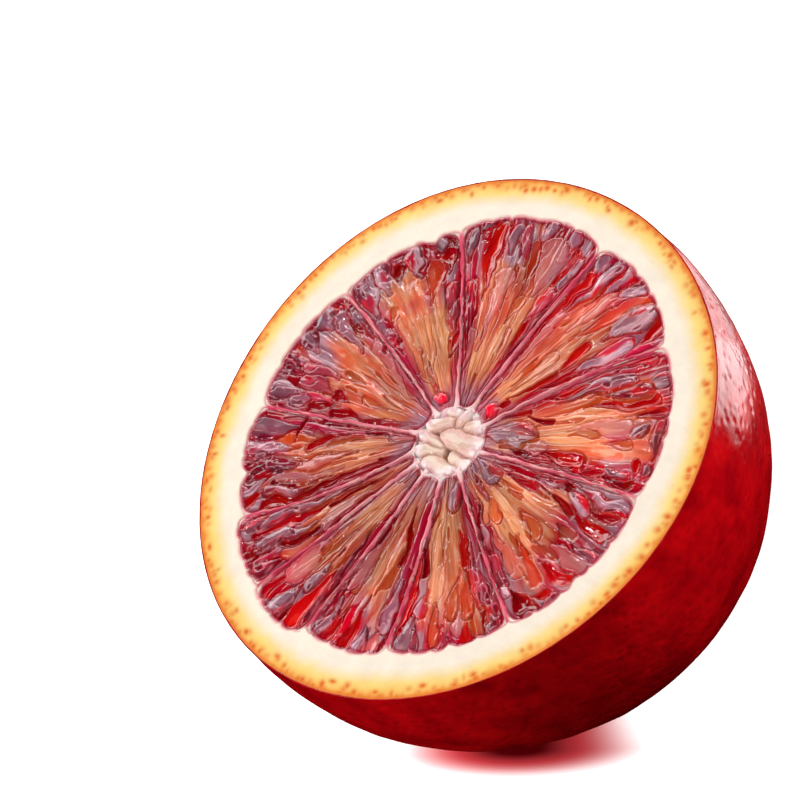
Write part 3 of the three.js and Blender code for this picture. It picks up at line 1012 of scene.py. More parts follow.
def make_core():
    core, u, v = add_grid("core", CORE_STEPS, CORE_STEPS)
    # A square grid pressed out to a disc.
    a, b = 2 * u - 1, 2 * v - 1
    disc_x = a * np.sqrt(1 - b**2 / 2)
    disc_y = b * np.sqrt(1 - a**2 / 2)
    turn = np.arctan2(disc_y, disc_x)
    reach = np.hypot(disc_x, disc_y)
    edge = CORE_RADIUS + 0.1 + 0.25 * np.cos(7 * turn)
    x, y = reach * edge * np.cos(turn), reach * edge * np.sin(turn)
    bent_x, bent_y = (
        straight + 0.20 * lattice_noise(x / 1.1, y / 1.1, seed)
        + 0.05 * lattice_noise(x / 0.35, y / 0.35, seed + 5)
        for straight, seed in ((x, 31), (y, 32))
    )

    best = np.full(len(x), -9.0)
    second = best.copy()
    middle, grain, stand = np.zeros(len(x)), np.zeros(len(x)), np.zeros(len(x))
    for number, strand in enumerate(CORE_STRANDS):
        *ends, half_start, half_end, rise = strand
        forward, sideways, along, gap = beside(bent_x, bent_y, ends[:2], ends[2:])
        half = half_start + (half_end - half_start) * along
        value = half - gap
        ahead = value > best
        second = np.where(ahead, best, np.maximum(second, value))
        middle = np.where(ahead, gap / half, middle)
        stand = np.where(ahead, rise, stand)
        grain = np.where(ahead, lattice_noise(sideways / 0.28, forward / 1.6, 40 + number), grain)
        best = np.where(ahead, value, best)
    margin = np.minimum(best, (best - second) / 2)
    hollow = smoothstep(0.05, -0.35, best)
    fringe = smoothstep(0.62, 0.86, reach + 0.06 * lattice_noise(4 * turn, reach * 3, 38))

    dome = np.sqrt(1 - (1 - np.clip((margin + 0.05) / 0.70, 0, 1)) ** 2)
    fuzz = layered_noise(x / 0.35, y / 0.35, 33)
    height = -0.95 + (0.74 + stand) * dome + 0.05 * grain + 0.03 * fuzz
    height -= 0.25 * hollow * (1 - fringe)
    torn = -0.42 + 0.14 * fuzz + 0.10 * lattice_noise(7 * turn, reach * 2, 39)
    height = np.maximum(height, height + (torn - height) * fringe * hollow)
    height -= 0.5 * smoothstep(0.93, 1.0, reach)
    height = CUT_HEIGHT + np.minimum(height, -0.03)
    put_points(core, np.column_stack([x + CORE_CENTRE[0], y + CORE_CENTRE[1], height]))

    # Painted shade: the crevices between the strands are painted a darker tan, and the gaps where
    # they part a darker brown.
    crevice_shade = smoothstep(0.22, 0.0, margin)
    pink = smoothstep(0.0, 0.6, lattice_noise(9 * turn, reach * 3, 35))
    paint(core, over(
        colour("#ecccb8"),
        ("#e8b8b0", smoothstep(-0.35, 0.45, lattice_noise(x / 1.3, y / 1.3, 34))),
        ("#f6e6d2", 0.6 * smoothstep(0.5, 0.1, middle + 0.2 * fuzz)),
        ("#d0a08c", 0.6 * smoothstep(0.05, 0.6, grain)),
        ("#d0a28c", 0.60 * crevice_shade * (1 - fringe)),
        ("#a2785e", 0.75 * smoothstep(0.04, -0.12, margin) * (1 - fringe)),
        ("#fdebe8", 0.90 * fringe),
        ("#dd98a2", 0.6 * fringe * pink),
        ("#d98a94", 0.35 * smoothstep(0.9, 1.0, reach)),
    ))
    for drop, radius in CORE_RINGS:
        extrude_edge(core, drop, core_wall, radius)
    close_edge(core)
    finish_piece(core, spongy_pith(), "core_and_membranes")


def core_wall(found, level, radius):
    flat = found[:, :2] - CORE_CENTRE
    flat *= radius / np.linalg.norm(flat, axis=1)[:, None]
    return flat + CORE_CENTRE


# ---- membranes ----------------------------------------------------------------------------

MEMBRANE_STEPS_LONG = 230
# Round the section, from the top's middle down one side and up the other: share of the
# half-width, and share of the way down.
MEMBRANE_SECTION = [
    (0.0, 0.0), (0.35, 0.0), (0.65, 0.004), (0.88, 0.009), (1.1, 0.014), (1.9, 0.022),
    (1.9, 0.10), (1.2, 0.5), (0.5, 1.0), (-0.5, 1.0), (-1.2, 0.5), (-1.9, 0.10),
    (-1.9, 0.022), (-1.1, 0.014), (-0.88, 0.009), (-0.65, 0.004), (-0.35, 0.0),
]


def make_membrane(index):
    rows = len(MEMBRANE_SECTION)
    vane, u, v = add_grid(f"membrane_{index + 1:02d}", MEMBRANE_STEPS_LONG, rows + 1)
    curve = membrane_curve(index, MEMBRANE_STEPS_LONG)
    outward = curve[-1] / np.linalg.norm(curve[-1])
    curve = curve + 0.9 * outward * smoothstep(0.93, 1.0, np.linspace(0, 1, len(curve)))[:, None]
    tangent = np.gradient(curve, axis=0)
    tangent /= np.linalg.norm(tangent, axis=1)[:, None]
    side = np.column_stack([-tangent[:, 1], tangent[:, 0]])
    step = np.round(u * (MEMBRANE_STEPS_LONG - 1)).astype(int)
    place = np.round(v * rows).astype(int) % rows
    section = np.array(MEMBRANE_SECTION)[place]

    length = np.cumsum(np.append(0, np.linalg.norm(np.diff(curve, axis=0), axis=1)))
    seed = 200 + 5 * index

    def waves(size, number):
        return lattice_noise(length / size, 0 * length, seed + number)

    wiggle = 0.10 * waves(1.6, 0) + 0.06 * waves(0.6, 1)
    wiggle *= smoothstep(0, 2, length) * smoothstep(0, 2, length[-1] - length)
    width = MEMBRANE_HALF_WIDTH * (1 + 0.35 * waves(2.3, 2))
    width += 0.30 * bell(length, 1.5) + 0.35 * bell(length[-1] - length, 0.8)
    top = -0.10 + 0.06 * waves(1.2, 3) - 0.12 * bell(length - length[-1], 0.8)

    offset = wiggle[step] + section[:, 0] * width[step]
    flat = curve[step] + side[step] * offset[:, None]
    reach = np.clip(distance(flat) / pulp_outline(MEMBRANES[index].angle), 0, 1)
    under_bowl = PULP_END_DEPTH * np.sqrt(np.clip(1 - (0.97 * reach) ** 2, 0, 1))
    deep = CUT_ABOVE_EQUATOR + under_bowl - 0.8
    grooved = smoothstep(-0.2, 0.5, waves(4.0, 4))[step]
    groove = 0.07 * bell(section[:, 0], 0.3) * grooved
    drop = np.maximum(-top[step], 0.03) + groove + section[:, 1] * np.maximum(deep, 1.5)
    drop += 0.025 * (1 + lattice_noise(length[step] / 0.35, section[:, 0] * 2, seed + 5))
    put_points(vane, np.column_stack([flat, CUT_HEIGHT - drop]))

    t = length[step] / length[-1]
    patch = lattice_noise(length[step] / 1.3, section[:, 0], seed + 6)
    paint(vane, over(
        colour("#f9d4d2"),
        ("#ee8a98", smoothstep(0.0, 0.12, t)),
        ("#da4c6a", smoothstep(0.20, 0.7, t)),
        ("#f2c9bb", smoothstep(0.955, 1.0, t)),
        ("#bc1c3c", 0.55 * smoothstep(0.0, 0.8, patch) * (t > 0.08)),
        ("#f3b9ae", 0.5 * smoothstep(0.0, 0.8, -patch)),
    ))
    merge_close(vane, SAME_POINT, "SELECT")
    edit(vane, "SELECT")
    bpy.ops.mesh.fill_holes(sides=0)
    bpy.ops.object.mode_set(mode="OBJECT")
    return vane


def make_membranes():
    vanes = [make_membrane(index) for index in range(SEGMENTS)]
    deselect_all()
    for vane in vanes:
        vane.select_set(True)
    bpy.context.view_layer.objects.active = vanes[0]
    bpy.ops.object.join()
    finish_piece(new_piece("membranes"), moist_membrane(), "core_and_membranes")


# ---- pulp ---------------------------------------------------------------------------------

PULP_STEPS_ALONG = 225
PULP_STEP_ACROSS = 0.105  # at the outline
PULP_DROPS = [1.2, 10.0, 22.0, 33.0]  # rings of the wedges' walls, below the cut face
PULP_DRAFT = 0.995  # how much narrower the walls are at each ring, besides the bowl's own shape
PITH_RADIUS = 29.0  # where the widths of strands hold; nearer the core they are narrower
# Layers of long strands: width, length and height.
STRAND_LAYERS = [(2.2, 17.0, 0.12), (1.1, 12.0, 0.09), (0.5, 8.0, 0.045)]
# Rows of small sacs: radius of their round ends, length, half-width and spacing.
FILLER_ROWS = [
    (28.0, 7.0, 1.7, 3.6),
    (24.8, 8.0, 1.25, 3.2),
    (22.0, 8.0, 0.8, 2.6),
    (18.8, 7.5, 0.6, 2.0),
    (15.0, 6.5, 0.45, 1.7),
    (11.4, 5.0, 0.35, 1.4),
    (8.4, 3.4, 0.28, 1.1),
]
FLESH_FILLERS = 0.30  # share of the small sacs kept in the flesh
OUTER_FILLERS = 0.65  # and outside it
LISTED_BONUS = 0.12  # how much wider the listed sacs count against their neighbours
PULP_START = 5  # radius, about where the pulp begins
PULP_REACH = 24  # from there to the pith
# Where the flesh ends: share of the way to the pith, and off a segment's middle.
FLESH_END = 0.80
FLESH_START = 0.16
FLESH_SIDE = 0.62
# How the strands sway: by how much, in patches of what width and length, and a seed.
STRAND_SWAYS = [(0.50, 3.0, 5.5, 0), (0.22, 1.0, 2.2, 1), (0.09, 0.5, 0.9, 35)]
# How the sacs' outlines sway: in patches of what size, and by how much.
SAC_SWAYS = [(5.0, 0.65), (1.9, 0.30), (0.75, 0.06)]
OUTER_MIX = ["mauve"] * 9 + ["wine"] * 3 + ["ruby"] * 3 + ["rose"] * 3 + ["scarlet"] * 2
SIDE_MIX = ["mauve"] * 6 + ["rose"] * 4 + ["wine"] * 3 + ["ruby"] * 3 + ["blush"] * 4
TIP_MIX = ["blush"] * 9 + ["rose"] * 5 + ["mauve"] * 4 + ["ruby"] * 2
FLESH_MIX = ["amber"] * 6 + ["coral"] * 6 + ["rust"] * 2 + ["blush"] * 6

FLESH_KINDS = ["amber", "coral", "blush"]
DARK_KINDS = ["mauve", "wine", "rose"]
RUSTY_KINDS = ["rust", "flame"]
# The fills of the wedges' corners, at the core and at the pith: how far the corner is rounded,
# a pale and a pink colour, and the level from the cut face.
CORNER_FILLS = [(1.15, "#f8dcd8", "#f0b4b8", -0.16), (1.5, "#f6e0d0", "#eebcb4", PITH_EDGE)]

Sac = namedtuple("Sac", "kind tip bulb half_width bonus")
# Where points lie, how far across their segment, how far from its edges, and the grid's rows.
Place = namedtuple("Place", "x y share to_side to_pith to_core rows")


def outward_share(radius):
    """Share of the way from the core to the pith."""
    return (radius - PULP_START) / PULP_REACH


def patches(at, size, seed):
    """Noise from -1 to 1, in round patches of a size in millimetres."""
    return lattice_noise(at.x / size, at.y / size, seed)


def featured_sacs(index):
    """The sacs of the list, whose edges win a little over their neighbours'."""
    return [
        Sac(kind, polar(tip_radius, tip_angle), polar(radius, angle), half_width, LISTED_BONUS)
        for kind, tip_angle, tip_radius, angle, radius, half_width in FEATURED_SACS[index]
    ]


def covered(spot, sacs):
    """Whether a spot already lies in one of the sacs."""
    return any(beside(*spot, sac.tip, sac.bulb)[3] < sac.half_width for sac in sacs)


def filler_kind(across, outward, rng):
    """A likely kind for a small sac, by where it lies in its segment."""
    if outward > FLESH_END:
        return rng.choice(OUTER_MIX)
    if outward < FLESH_START:
        return rng.choice(TIP_MIX)
    if abs(2 * across - 1) > FLESH_SIDE:
        return rng.choice(SIDE_MIX)
    return rng.choice(FLESH_MIX)


def filler_sacs(index, known, rng):
    """Small sacs in rows, wherever the listed ones leave room; few of them in the flesh."""
    found = []
    for radius, length, half_width, spacing in FILLER_ROWS:
        low, high = membrane_angle(index, radius), membrane_angle(index + 1, radius)
        count = max(2, int(np.radians(high - low) * radius / spacing))
        for i in range(count):
            across = (i + 0.5 + rng.uniform(-0.3, 0.3)) / count
            angle = low + (high - low) * across
            end_radius = radius + rng.uniform(-1.1, 0.9)
            tip_radius = max(PULP_START, end_radius - length * rng.uniform(0.6, 1.3))
            lean = rng.uniform(-1.2, 1.2)
            bulb = polar(end_radius, angle)
            tip = polar(tip_radius, angle + lean)
            outward = outward_share(radius)
            kind = filler_kind(across, outward - FLESH_REACH[index], rng)
            wide = half_width * rng.uniform(0.6, 1.3)
            in_flesh = outward < FLESH_END and abs(2 * across - 1) < FLESH_SIDE
            kept = rng.random() < (FLESH_FILLERS if in_flesh else OUTER_FILLERS)
            if kept and not covered(bulb, known) and not covered((bulb + tip) / 2, known):
                found.append(Sac(kind, tip, bulb, wide, 0.0))
    return found


def nearest_sacs(x, y, sacs):
    """For each point: the best sac and the next, how far it lies inside each, and its place."""
    best = np.full(len(x), -99.0)
    second = best.copy()
    winner = np.zeros(len(x), int)
    runner = np.zeros(len(x), int)
    along_best = np.zeros(len(x))
    across_best = np.zeros(len(x))
    for number, sac in enumerate(sacs):
        forward, sideways, along, gap = beside(x, y, sac.tip, sac.bulb)
        taper = 0.10 + 0.90 * smoothstep(0, 0.85, along)
        value = sac.half_width * taper + sac.bonus - gap
        first = value > best
        next_best = ~first & (value > second)
        runner = np.where(first, winner, np.where(next_best, number, runner))
        second = np.where(first, best, np.where(next_best, value, second))
        winner = np.where(first, number, winner)
        along_best = np.where(first, forward, along_best)
        across_best = np.where(first, sideways, across_best)
        best = np.where(first, value, best)
    return winner, runner, best, second, along_best, across_best


def segment_grid(index, u, v, rows):
    """Where the points of a segment's grid lie, and how far they are from its edges."""
    share = 0.6 * v + 0.4 * (0.5 - 0.5 * np.cos(np.pi * v))
    radius = PULP_START + PULP_REACH * u
    for _ in range(4):
        gap = np.degrees(SAC_EDGE_CLEARANCE / radius)
        low = membrane_angle(index, radius) + gap
        high = membrane_angle(index + 1, radius) - gap
        angle = low + (high - low) * share
        inner = core_edge(angle)
        outer = pulp_outline(angle) - 0.01
        radius = inner + (outer - inner) * u
    x, y = polar(radius, angle).T
    to_side = np.minimum(share, 1 - share) * np.radians(high - low) * radius
    return Place(x, y, share, to_side, outer - radius, radius - inner, rows)


def core_edge(degrees):
    """Distance from the fruit's middle to the core's surface."""
    ahead = polar(1.0, degrees)
    towards = ahead @ CORE_CENTRE
    radius = CORE_RADIUS - 0.15
    return towards + np.sqrt(towards**2 - CORE_CENTRE @ CORE_CENTRE + radius**2)


def signed_distance(field, at):
    """Millimetres from the lines where a field is zero, negative where the field is."""
    f, x, y = (values.reshape(at.rows, -1) for values in (field, at.x, at.y))
    f_v, f_u = np.gradient(f)
    x_v, x_u = np.gradient(x)
    y_v, y_u = np.gradient(y)
    area = x_u * y_v - x_v * y_u
    slope_x = (f_u * y_v - f_v * y_u) / area
    slope_y = (f_v * x_u - f_u * x_v) / area
    return (f / (np.hypot(slope_x, slope_y) + 0.15)).ravel()


def strand_ground(index, at, seed):
    """Height and colour of the long strands that fan out from the core, under the round sacs."""
    radius = np.hypot(at.x, at.y)
    outward = outward_share(radius)
    span = (MEMBRANES[(index + 1) % SEGMENTS].angle - MEMBRANES[index].angle) % 360
    across = at.share * math.radians(span) * PITH_RADIUS
    for sway, width, length, number in STRAND_SWAYS:
        across = across + sway * lattice_noise(across / width, radius / length, seed + number)
    out = radius + 0.9 * lattice_noise(across / 1.6, radius / 4.0, seed + 2)
    narrow = np.clip(radius / PITH_RADIUS, 0.2, 1)

    def strands(width, length, number):
        return lattice_noise(across / width, out / length, seed + number)

    height = np.zeros(len(radius))
    lips, creases, tones, sheens = [], [], [], []
    for number, (width, length, rise) in enumerate(STRAND_LAYERS):
        tone = strands(width, length, 10 + number)
        seam = signed_distance(tone, at)
        fine = width * narrow
        shown = smoothstep(-0.35, 0.25, strands(1.7 * width, 0.8 * length, 20 + number))
        shown = shown * smoothstep(0.12, 0.36, fine)
        rounded = np.clip(seam / (0.40 * fine), 0, 1)
        over_it = np.sqrt(1 - (1 - rounded) ** 2)
        under_it = -0.45 * np.exp(np.minimum(seam, 0) / (0.25 * fine))
        height += rise * shown * np.where(seam > 0, over_it, under_it)
        # A painted highlight on each layer's lip and a painted shade in its crease; the sheen on
        # each strand's raised side is a painted reflection of the wet film.
        lips.append(shown * bell(seam - 0.12, 0.06))
        creases.append(shown * bell(seam + 0.03, 0.08))
        sheens.append(smoothstep(0.06, 0.16, seam) * np.exp(-np.clip(seam, 0, 9) / (0.5 * fine)))
        tones.append(tone)
    glint = smoothstep(-0.15, 0.25, strands(0.9, 1.5, 9))
    lip = np.clip(0.8 * lips[0] + 0.8 * lips[1] + 0.5 * lips[2], 0, 1) * glint
    lip = lip * smoothstep(0.1, 1.5, at.to_side)
    crease = np.clip(0.8 * creases[0] + 0.8 * creases[1] + 0.45 * creases[2], 0, 1)
    sheen = np.clip(0.8 * sheens[0] + 0.7 * sheens[1], 0, 1)
    sheen *= smoothstep(-0.35, 0.35, strands(2.4, 5.0, 8))

    # The flesh in the middle is warm and pale, and the rest deep red, with grey clouds that are a
    # painted reflection of the wet film.
    middle = 1 - np.abs(2 * (at.share + 0.09 * strands(2.6, 7.0, 3)) - 1)
    pale = smoothstep(0.20, 0.52, middle) * smoothstep(0.0, 0.14, outward)
    fringe = 0.12 * strands(1.6, 5, 4) + 0.20 * patches(at, 4.5, seed + 36)
    pale *= 1 - smoothstep(0.62, 0.86, outward + fringe - FLESH_REACH[index])
    bands = AMBER_SHARE[index] + 0.6 * patches(at, 4.5, seed + 34)
    golden = np.clip(bands + 0.3 * tones[0] + 0.15 * tones[1], 0, 1)
    stroke = layered_noise(across / 0.45, out / 1.7, seed + 33, 2)
    warm = over(
        blend("#cc503a", "#e09260", golden),
        ("#d8442c", 0.55 * smoothstep(0.45, 0.9, outward + 0.2 * tones[1])),
        ("#dcae98", 0.50 * sheen),
        ("#b4503a", 0.48 * smoothstep(0.05, 0.6, stroke)),
        ("#e8b498", 0.42 * smoothstep(0.05, 0.6, -stroke)),
    )
    clouded = smoothstep(-0.05, 0.50, strands(2.1, 4.0, 31))
    lilac_sheen = blend("#7c4c5e", "#b08c98", smoothstep(-0.4, 0.4, strands(1.3, 2.6, 32)))
    deep = over(
        blend("#a00618", "#b81440", smoothstep(-0.3, 0.4, tones[0])),
        ("#c2001a", 0.7 * smoothstep(0.05, 0.5, -tones[1])),
        (lilac_sheen, 0.85 * clouded * smoothstep(0.45, 0.75, outward)),
        ("#b88f98", 0.80 * sheen),
        ("#c07884", 0.5 * smoothstep(0.26, 0.02, outward)),
    )
    tint = mix(deep, warm, pale)
    tint = tint * (1 + 0.18 * tones[1] + 0.14 * tones[2])[:, None]

    # Short hollows between the strands, where the juice is darker, with a painted highlight on
    # their rims.
    hollow = signed_distance(strands(0.9, 3.4, 6) - 0.42, at)
    chosen = smoothstep(-0.1, 0.3, strands(2.2, 6.0, 7))
    opening = chosen * smoothstep(-0.03, 0.05, hollow)
    hollow_lip = chosen * bell(hollow + 0.10, 0.07)
    height += 0.04 * hollow_lip - 0.16 * opening
    tint = mix(tint, blend("#a4000a", "#bc3a08", pale), 0.85 * opening)
    return height, tint, pale, np.clip(lip + hollow_lip, 0, 1), crease * (1 - opening)


def sac_surface(index, at, sacs, relief, rng):
    """Height above the cut face and colour of a segment's juice sacs."""
    seed = 1000 + 50 * index
    ground_height, ground, pale, ground_lip, ground_crease = strand_ground(index, at, seed + 20)
    bent_x, bent_y = at.x, at.y
    for size, reach in SAC_SWAYS:
        bent_x = bent_x + reach * patches(at, size, seed)
        bent_y = bent_y + reach * patches(at, size, seed + 1)
        seed += 2
    winner, runner, best, second, along, across = nearest_sacs(bent_x, bent_y, sacs)

    names = np.array([sac.kind for sac in sacs])
    kinds = [KINDS[name] for name in names]
    rise = np.array([kind.rise for kind in kinds]) * rng.uniform(0.7, 1.25, len(sacs))
    half_width = np.array([sac.half_width for sac in sacs])
    shoulder = np.clip(0.75 * half_width, 0.2, 0.9)
    slope_across = rng.normal(0, 0.06, len(sacs))
    level = rng.normal(0, 0.04, len(sacs))
    brightness = rng.uniform(0.66, 1.34, len(sacs))
    rank = rng.random(len(sacs)) + 2 * (rise > 0.1) - 2 * (rise < 0)
    flank = rng.choice([-1, 1], len(sacs))
    pit = (rise < 0)[winner]
    flesh, dark, rust, hazy, bead = (
        np.isin(names, chosen)[winner]
        for chosen in (FLESH_KINDS, DARK_KINDS, RUSTY_KINDS, ["mauve"], ["raspberry"])
    )
    alike = names[winner] == names[runner]
    # Here and there the skins of two sacs part, and the juice shows in a valley.
    parted = smoothstep(-0.2, 0.7, patches(at, 2.4, seed + 11))
    valley = (0.04 + 0.26 * parted) * np.clip(half_width / 0.9, 0.15, 1)[winner] * ~flesh
    valley = np.where(alike, 0.35, 1.0) * valley
    margin = np.minimum(best, (best - second) / 2) - valley

    touching = second > -0.05
    on_top = np.where(touching, rank[winner] > rank[runner], ~pit)
    rounded = np.clip(margin / shoulder[winner], 0, 1)
    dome = np.sqrt(1 - (1 - rounded) ** 2)
    form = np.where(on_top & ~pit, dome, smoothstep(0.0, 1.0, rounded)) * rise[winner]
    ripple = layered_noise(at.x / 0.9, at.y / 0.9, seed + 6)
    folds = layered_noise(across / 1.0, along / 1.9, seed + 5, 2) * dark
    streaks = layered_noise(across / 0.35, along / 3.2, seed + 4)
    clouds = layered_noise(across / 1.1, along / 2.8, seed + 7, 2)
    glow = layered_noise(across / 0.8 + 9, along / 2.4, seed + 8, 2)

    # Small dents in the dark sacs, painted darker inside as painted shade, with a painted
    # highlight on their rim.
    dent = signed_distance(lattice_noise(across / 0.5, along / 1.3, seed + 12) - 0.42, at)
    dented = smoothstep(0.0, 0.3, patches(at, 1.8, seed + 13))
    dented = dented * dark * smoothstep(0.05, 0.20, margin)
    dent_lip = dented * bell(dent + 0.09, 0.055)
    dented = dented * smoothstep(-0.03, 0.05, dent)

    # Fine folds along the dark sacs' skins, with painted shade in their grooves and painted
    # highlights on their ridges.
    fold = signed_distance(lattice_noise(across / 0.7, along / 2.4, seed + 16), at)
    folded = smoothstep(0.0, 0.4, patches(at, 1.5, seed + 17))
    folded = folded * dark * smoothstep(0.05, 0.20, margin)

    # The outline of a sac: a lip where it lies on top, which gets a painted highlight, and a
    # crease where it dips under, which gets a painted shade.
    seen = smoothstep(-0.05, 0.45, patches(at, 1.6, seed + 10))
    seen = seen * (0.35 + 0.65 * smoothstep(-0.3, 0.3, patches(at, 0.5, seed + 15)))
    seen = seen * np.where(alike, 0.4, 1.0)
    lip = bell(margin - 0.08, 0.06) * on_top * seen
    crease = bell(margin - 0.02, 0.08) * ~on_top * (0.2 + 0.8 * seen)
    free_edge = best < 0
    lip = np.where(free_edge, (pit & ~rust) * seen * bell(best + 0.09, 0.07), lip)
    crease = np.where(free_edge, ~pit * bell(best + 0.03, 0.09), crease)

    inside = smoothstep(-0.03, 0.05, np.where(flesh, best, margin))
    opened = smoothstep(-0.05, 0.02, best) * (1 - inside)
    own_height = form + level[winner] + slope_across[winner] * across
    own_height += 0.03 * streaks * flesh + 0.09 * folds * rounded
    kept = 1 - inside * np.where(flesh, 0.4, np.where(pit, 0.9, 0.6))
    height = ground_height * kept + own_height * inside
    height += 0.07 * lip - 0.12 * crease - 0.14 * opened + 0.025 * ripple
    height += 0.03 * dent_lip - 0.10 * dented
    height += 0.05 * folded * (bell(fold, 0.09) - bell(fold - 0.17, 0.09))
    height = PULP_LEVEL + relief * height
    height -= 0.20 * bell(at.to_side, 0.34)
    height += (PITH_EDGE - height) * bell(at.to_pith, 0.16)
    height -= 0.18 * bell(at.to_core, 0.3)
    height = np.minimum(height, HIGHEST_SAC)

    centre = np.array([colour(kind.centre) for kind in kinds])[winner]
    edge = np.array([colour(kind.edge) for kind in kinds])[winner]
    grown = smoothstep(0.03, 0.25 + 0.4 * shoulder[winner], margin + 0.12 * clouds)
    # A pale sheen, a painted reflection of the wet film, that starts sharply on one flank of a sac
    # and fades over to the other.
    towards = across / half_width[winner] * flank[winner] + 0.9 * clouds + 0.5
    haze = smoothstep(-0.1, 0.7, towards) * smoothstep(0.03, 0.12, margin) * hazy
    sheen_colour = blend("#c8a6b0", "#86606f", smoothstep(-0.35, 0.35, clouds))
    outermost = smoothstep(7.0, 1.5, at.to_pith)
    # The glow noise paints dark plum patches as painted shade for depth, and scarlet patches, and
    # orange-red in the pits, as a painted glow of light through the juice.
    own = over(
        mix(edge, centre, grown),
        ("#500a20", (0.45 + 0.4 * outermost) * smoothstep(0.0, 0.35, -glow) * dark),
        ("#c80214", 0.80 * smoothstep(0.10, 0.40, glow) * dark),
        (sheen_colour, (0.80 + 0.3 * streaks) * haze),
        ("#dc2008", 0.35 * smoothstep(0.0, 0.5, glow) * pit),
    )
    own = own * (brightness[winner] * (1 + 0.12 * streaks))[:, None]
    own = mix(own, ground, np.select([flesh, rust, dark], [0.45, 0.3, 0.12], 0.0))
    juice = blend("#8e000c", "#cc0612", smoothstep(-0.3, 0.4, glow))
    juice = mix(juice, colour("#bc3a0c"), 0.8 * pale)
    tint = over(ground, (own, inside), (juice, 0.9 * opened))
    outer = smoothstep(0.55, 0.85, outward_share(np.hypot(at.x, at.y)))
    glowing = FLESH_GLOW[index] + (OUTER_GLOW[index] - FLESH_GLOW[index]) * outer
    glowing *= 1 + 0.22 * patches(at, 5, seed + 14)
    calm = smoothstep(-0.5, 0.35, patches(at, 3.5, seed + 18))
    soft = (1 - 0.60 * pale) * (0.35 + 0.65 * calm)
    # Painted shade along the creases and painted highlights along the lips, of the sacs and the
    # strands alike.
    crease_shade = np.clip(crease + ground_crease * kept, 0, 1)
    lip_highlight = np.clip(lip + ground_lip * kept, 0, 1)
    misty = smoothstep(-0.5, 0.4, clouds) * smoothstep(5.0, 1.0, at.to_core)
    tint = over(
        tint * glowing[:, None],
        ("#740014", 0.80 * dented),
        ("#f4b4c0", 0.45 * dent_lip),
        ("#7a0a1e", 0.55 * folded * bell(fold - 0.17, 0.09)),
        ("#f0b0bc", 0.50 * folded * bell(fold, 0.06)),
        (blend("#780010", "#a42808", pale), 0.72 * soft * crease_shade),
        (blend("#f4a4b4", "#ffd0ac", pale), 0.58 * soft * lip_highlight),
        ("#98061e", 0.85 * bell(at.to_side, 0.42)),
        ("#a80a20", 0.85 * bell(at.to_pith, 0.24)),
        ("#a2788a", 0.62 * misty),
        ("#ecc4c6", 0.55 * bell(at.to_core, 0.20)),
    )
    return fill_corners(at, height, tint, ripple, ~bead)


def fill_corners(at, height, tint, ripple, fillable):
    """Fills a wedge's corners: with the membranes' pale tissue at the core, and with pith."""
    for to_end, fill in zip((at.to_core, at.to_pith), CORNER_FILLS):
        rounding, pale_tissue, pink_tissue, tissue_level = fill
        from_side = np.clip(rounding - at.to_side, 0, 9)
        from_end = np.clip(rounding - to_end, 0, 9)
        corner = rounding - np.hypot(from_side, from_end) + 0.08 * ripple
        filled = smoothstep(0.10, -0.12, corner) * fillable
        near_end = smoothstep(3.0, 1.5, to_end) * fillable
        height += (tissue_level + 0.05 * ripple - height) * filled
        tint = over(
            tint,
            ("#8a0a22", 0.80 * bell(corner - 0.34, 0.15) * near_end),
            ("#dc6078", 0.80 * bell(corner - 0.12, 0.11) * near_end),
            (blend(pale_tissue, pink_tissue, smoothstep(-0.3, 0.4, ripple)), 0.9 * filled),
        )
    return height, tint


def make_pulp(index, settings, material):
    rng = np.random.default_rng(settings.seed + 1 + index)
    start = MEMBRANES[index].angle
    end = MEMBRANES[(index + 1) % SEGMENTS].angle + (360 if index == SEGMENTS - 1 else 0)
    across = math.radians(end - start) * MEMBRANES[index].peak
    rows = int(across / PULP_STEP_ACROSS)
    pulp, u, v = add_grid(f"pulp_{index + 1:02d}", PULP_STEPS_ALONG, rows)
    at = segment_grid(index, u, v, rows)
    known = featured_sacs(index)
    sacs = known + filler_sacs(index, known, rng)
    height, tint = sac_surface(index, at, sacs, settings.relief, rng)
    put_points(pulp, np.column_stack([at.x, at.y, CUT_HEIGHT + height]))
    paint(pulp, tint)
    middle = (start + end) / 2
    anchor = polar(core_edge(middle) + 0.5, middle)
    for drop, last_drop in zip(PULP_DROPS, [0.0, *PULP_DROPS]):
        extrude_edge(pulp, drop, pulp_walls, anchor, CUT_HEIGHT - last_drop)
    close_edge(pulp)
    finish_piece(pulp, material, f"segment_{index + 1:02d}")


def pulp_walls(found, level, anchor, above):
    """Draws the walls in towards a point by the core as they go down the bowl."""
    narrow = bowl_share(level, PULP_END_DEPTH) / bowl_share(above, PULP_END_DEPTH)
    return anchor + (found[:, :2] - anchor) * min(narrow, 1) * PULP_DRAFT


# ---- stage --------------------------------------------------------------------------------

FACE_RADIUS = 35.55 * MM  # of the cut face
CAMERA_OFFSET = Vector((0.0, -9.151, 10.597)) * FACE_RADIUS  # from the cut face's middle
CAMERA_TILT = math.radians(41.626)  # from straight down
CAMERA_TURN = math.radians(0.279)
CAMERA_ROLL = math.radians(-46.03)
CAMERA_SHIFT = 0.25 * MM
LENS = 184.6
SENSOR = 36.0
BOARD_SIZE = 6  # metres
BODY_MIDDLE = Vector((0, 0, 0.035))


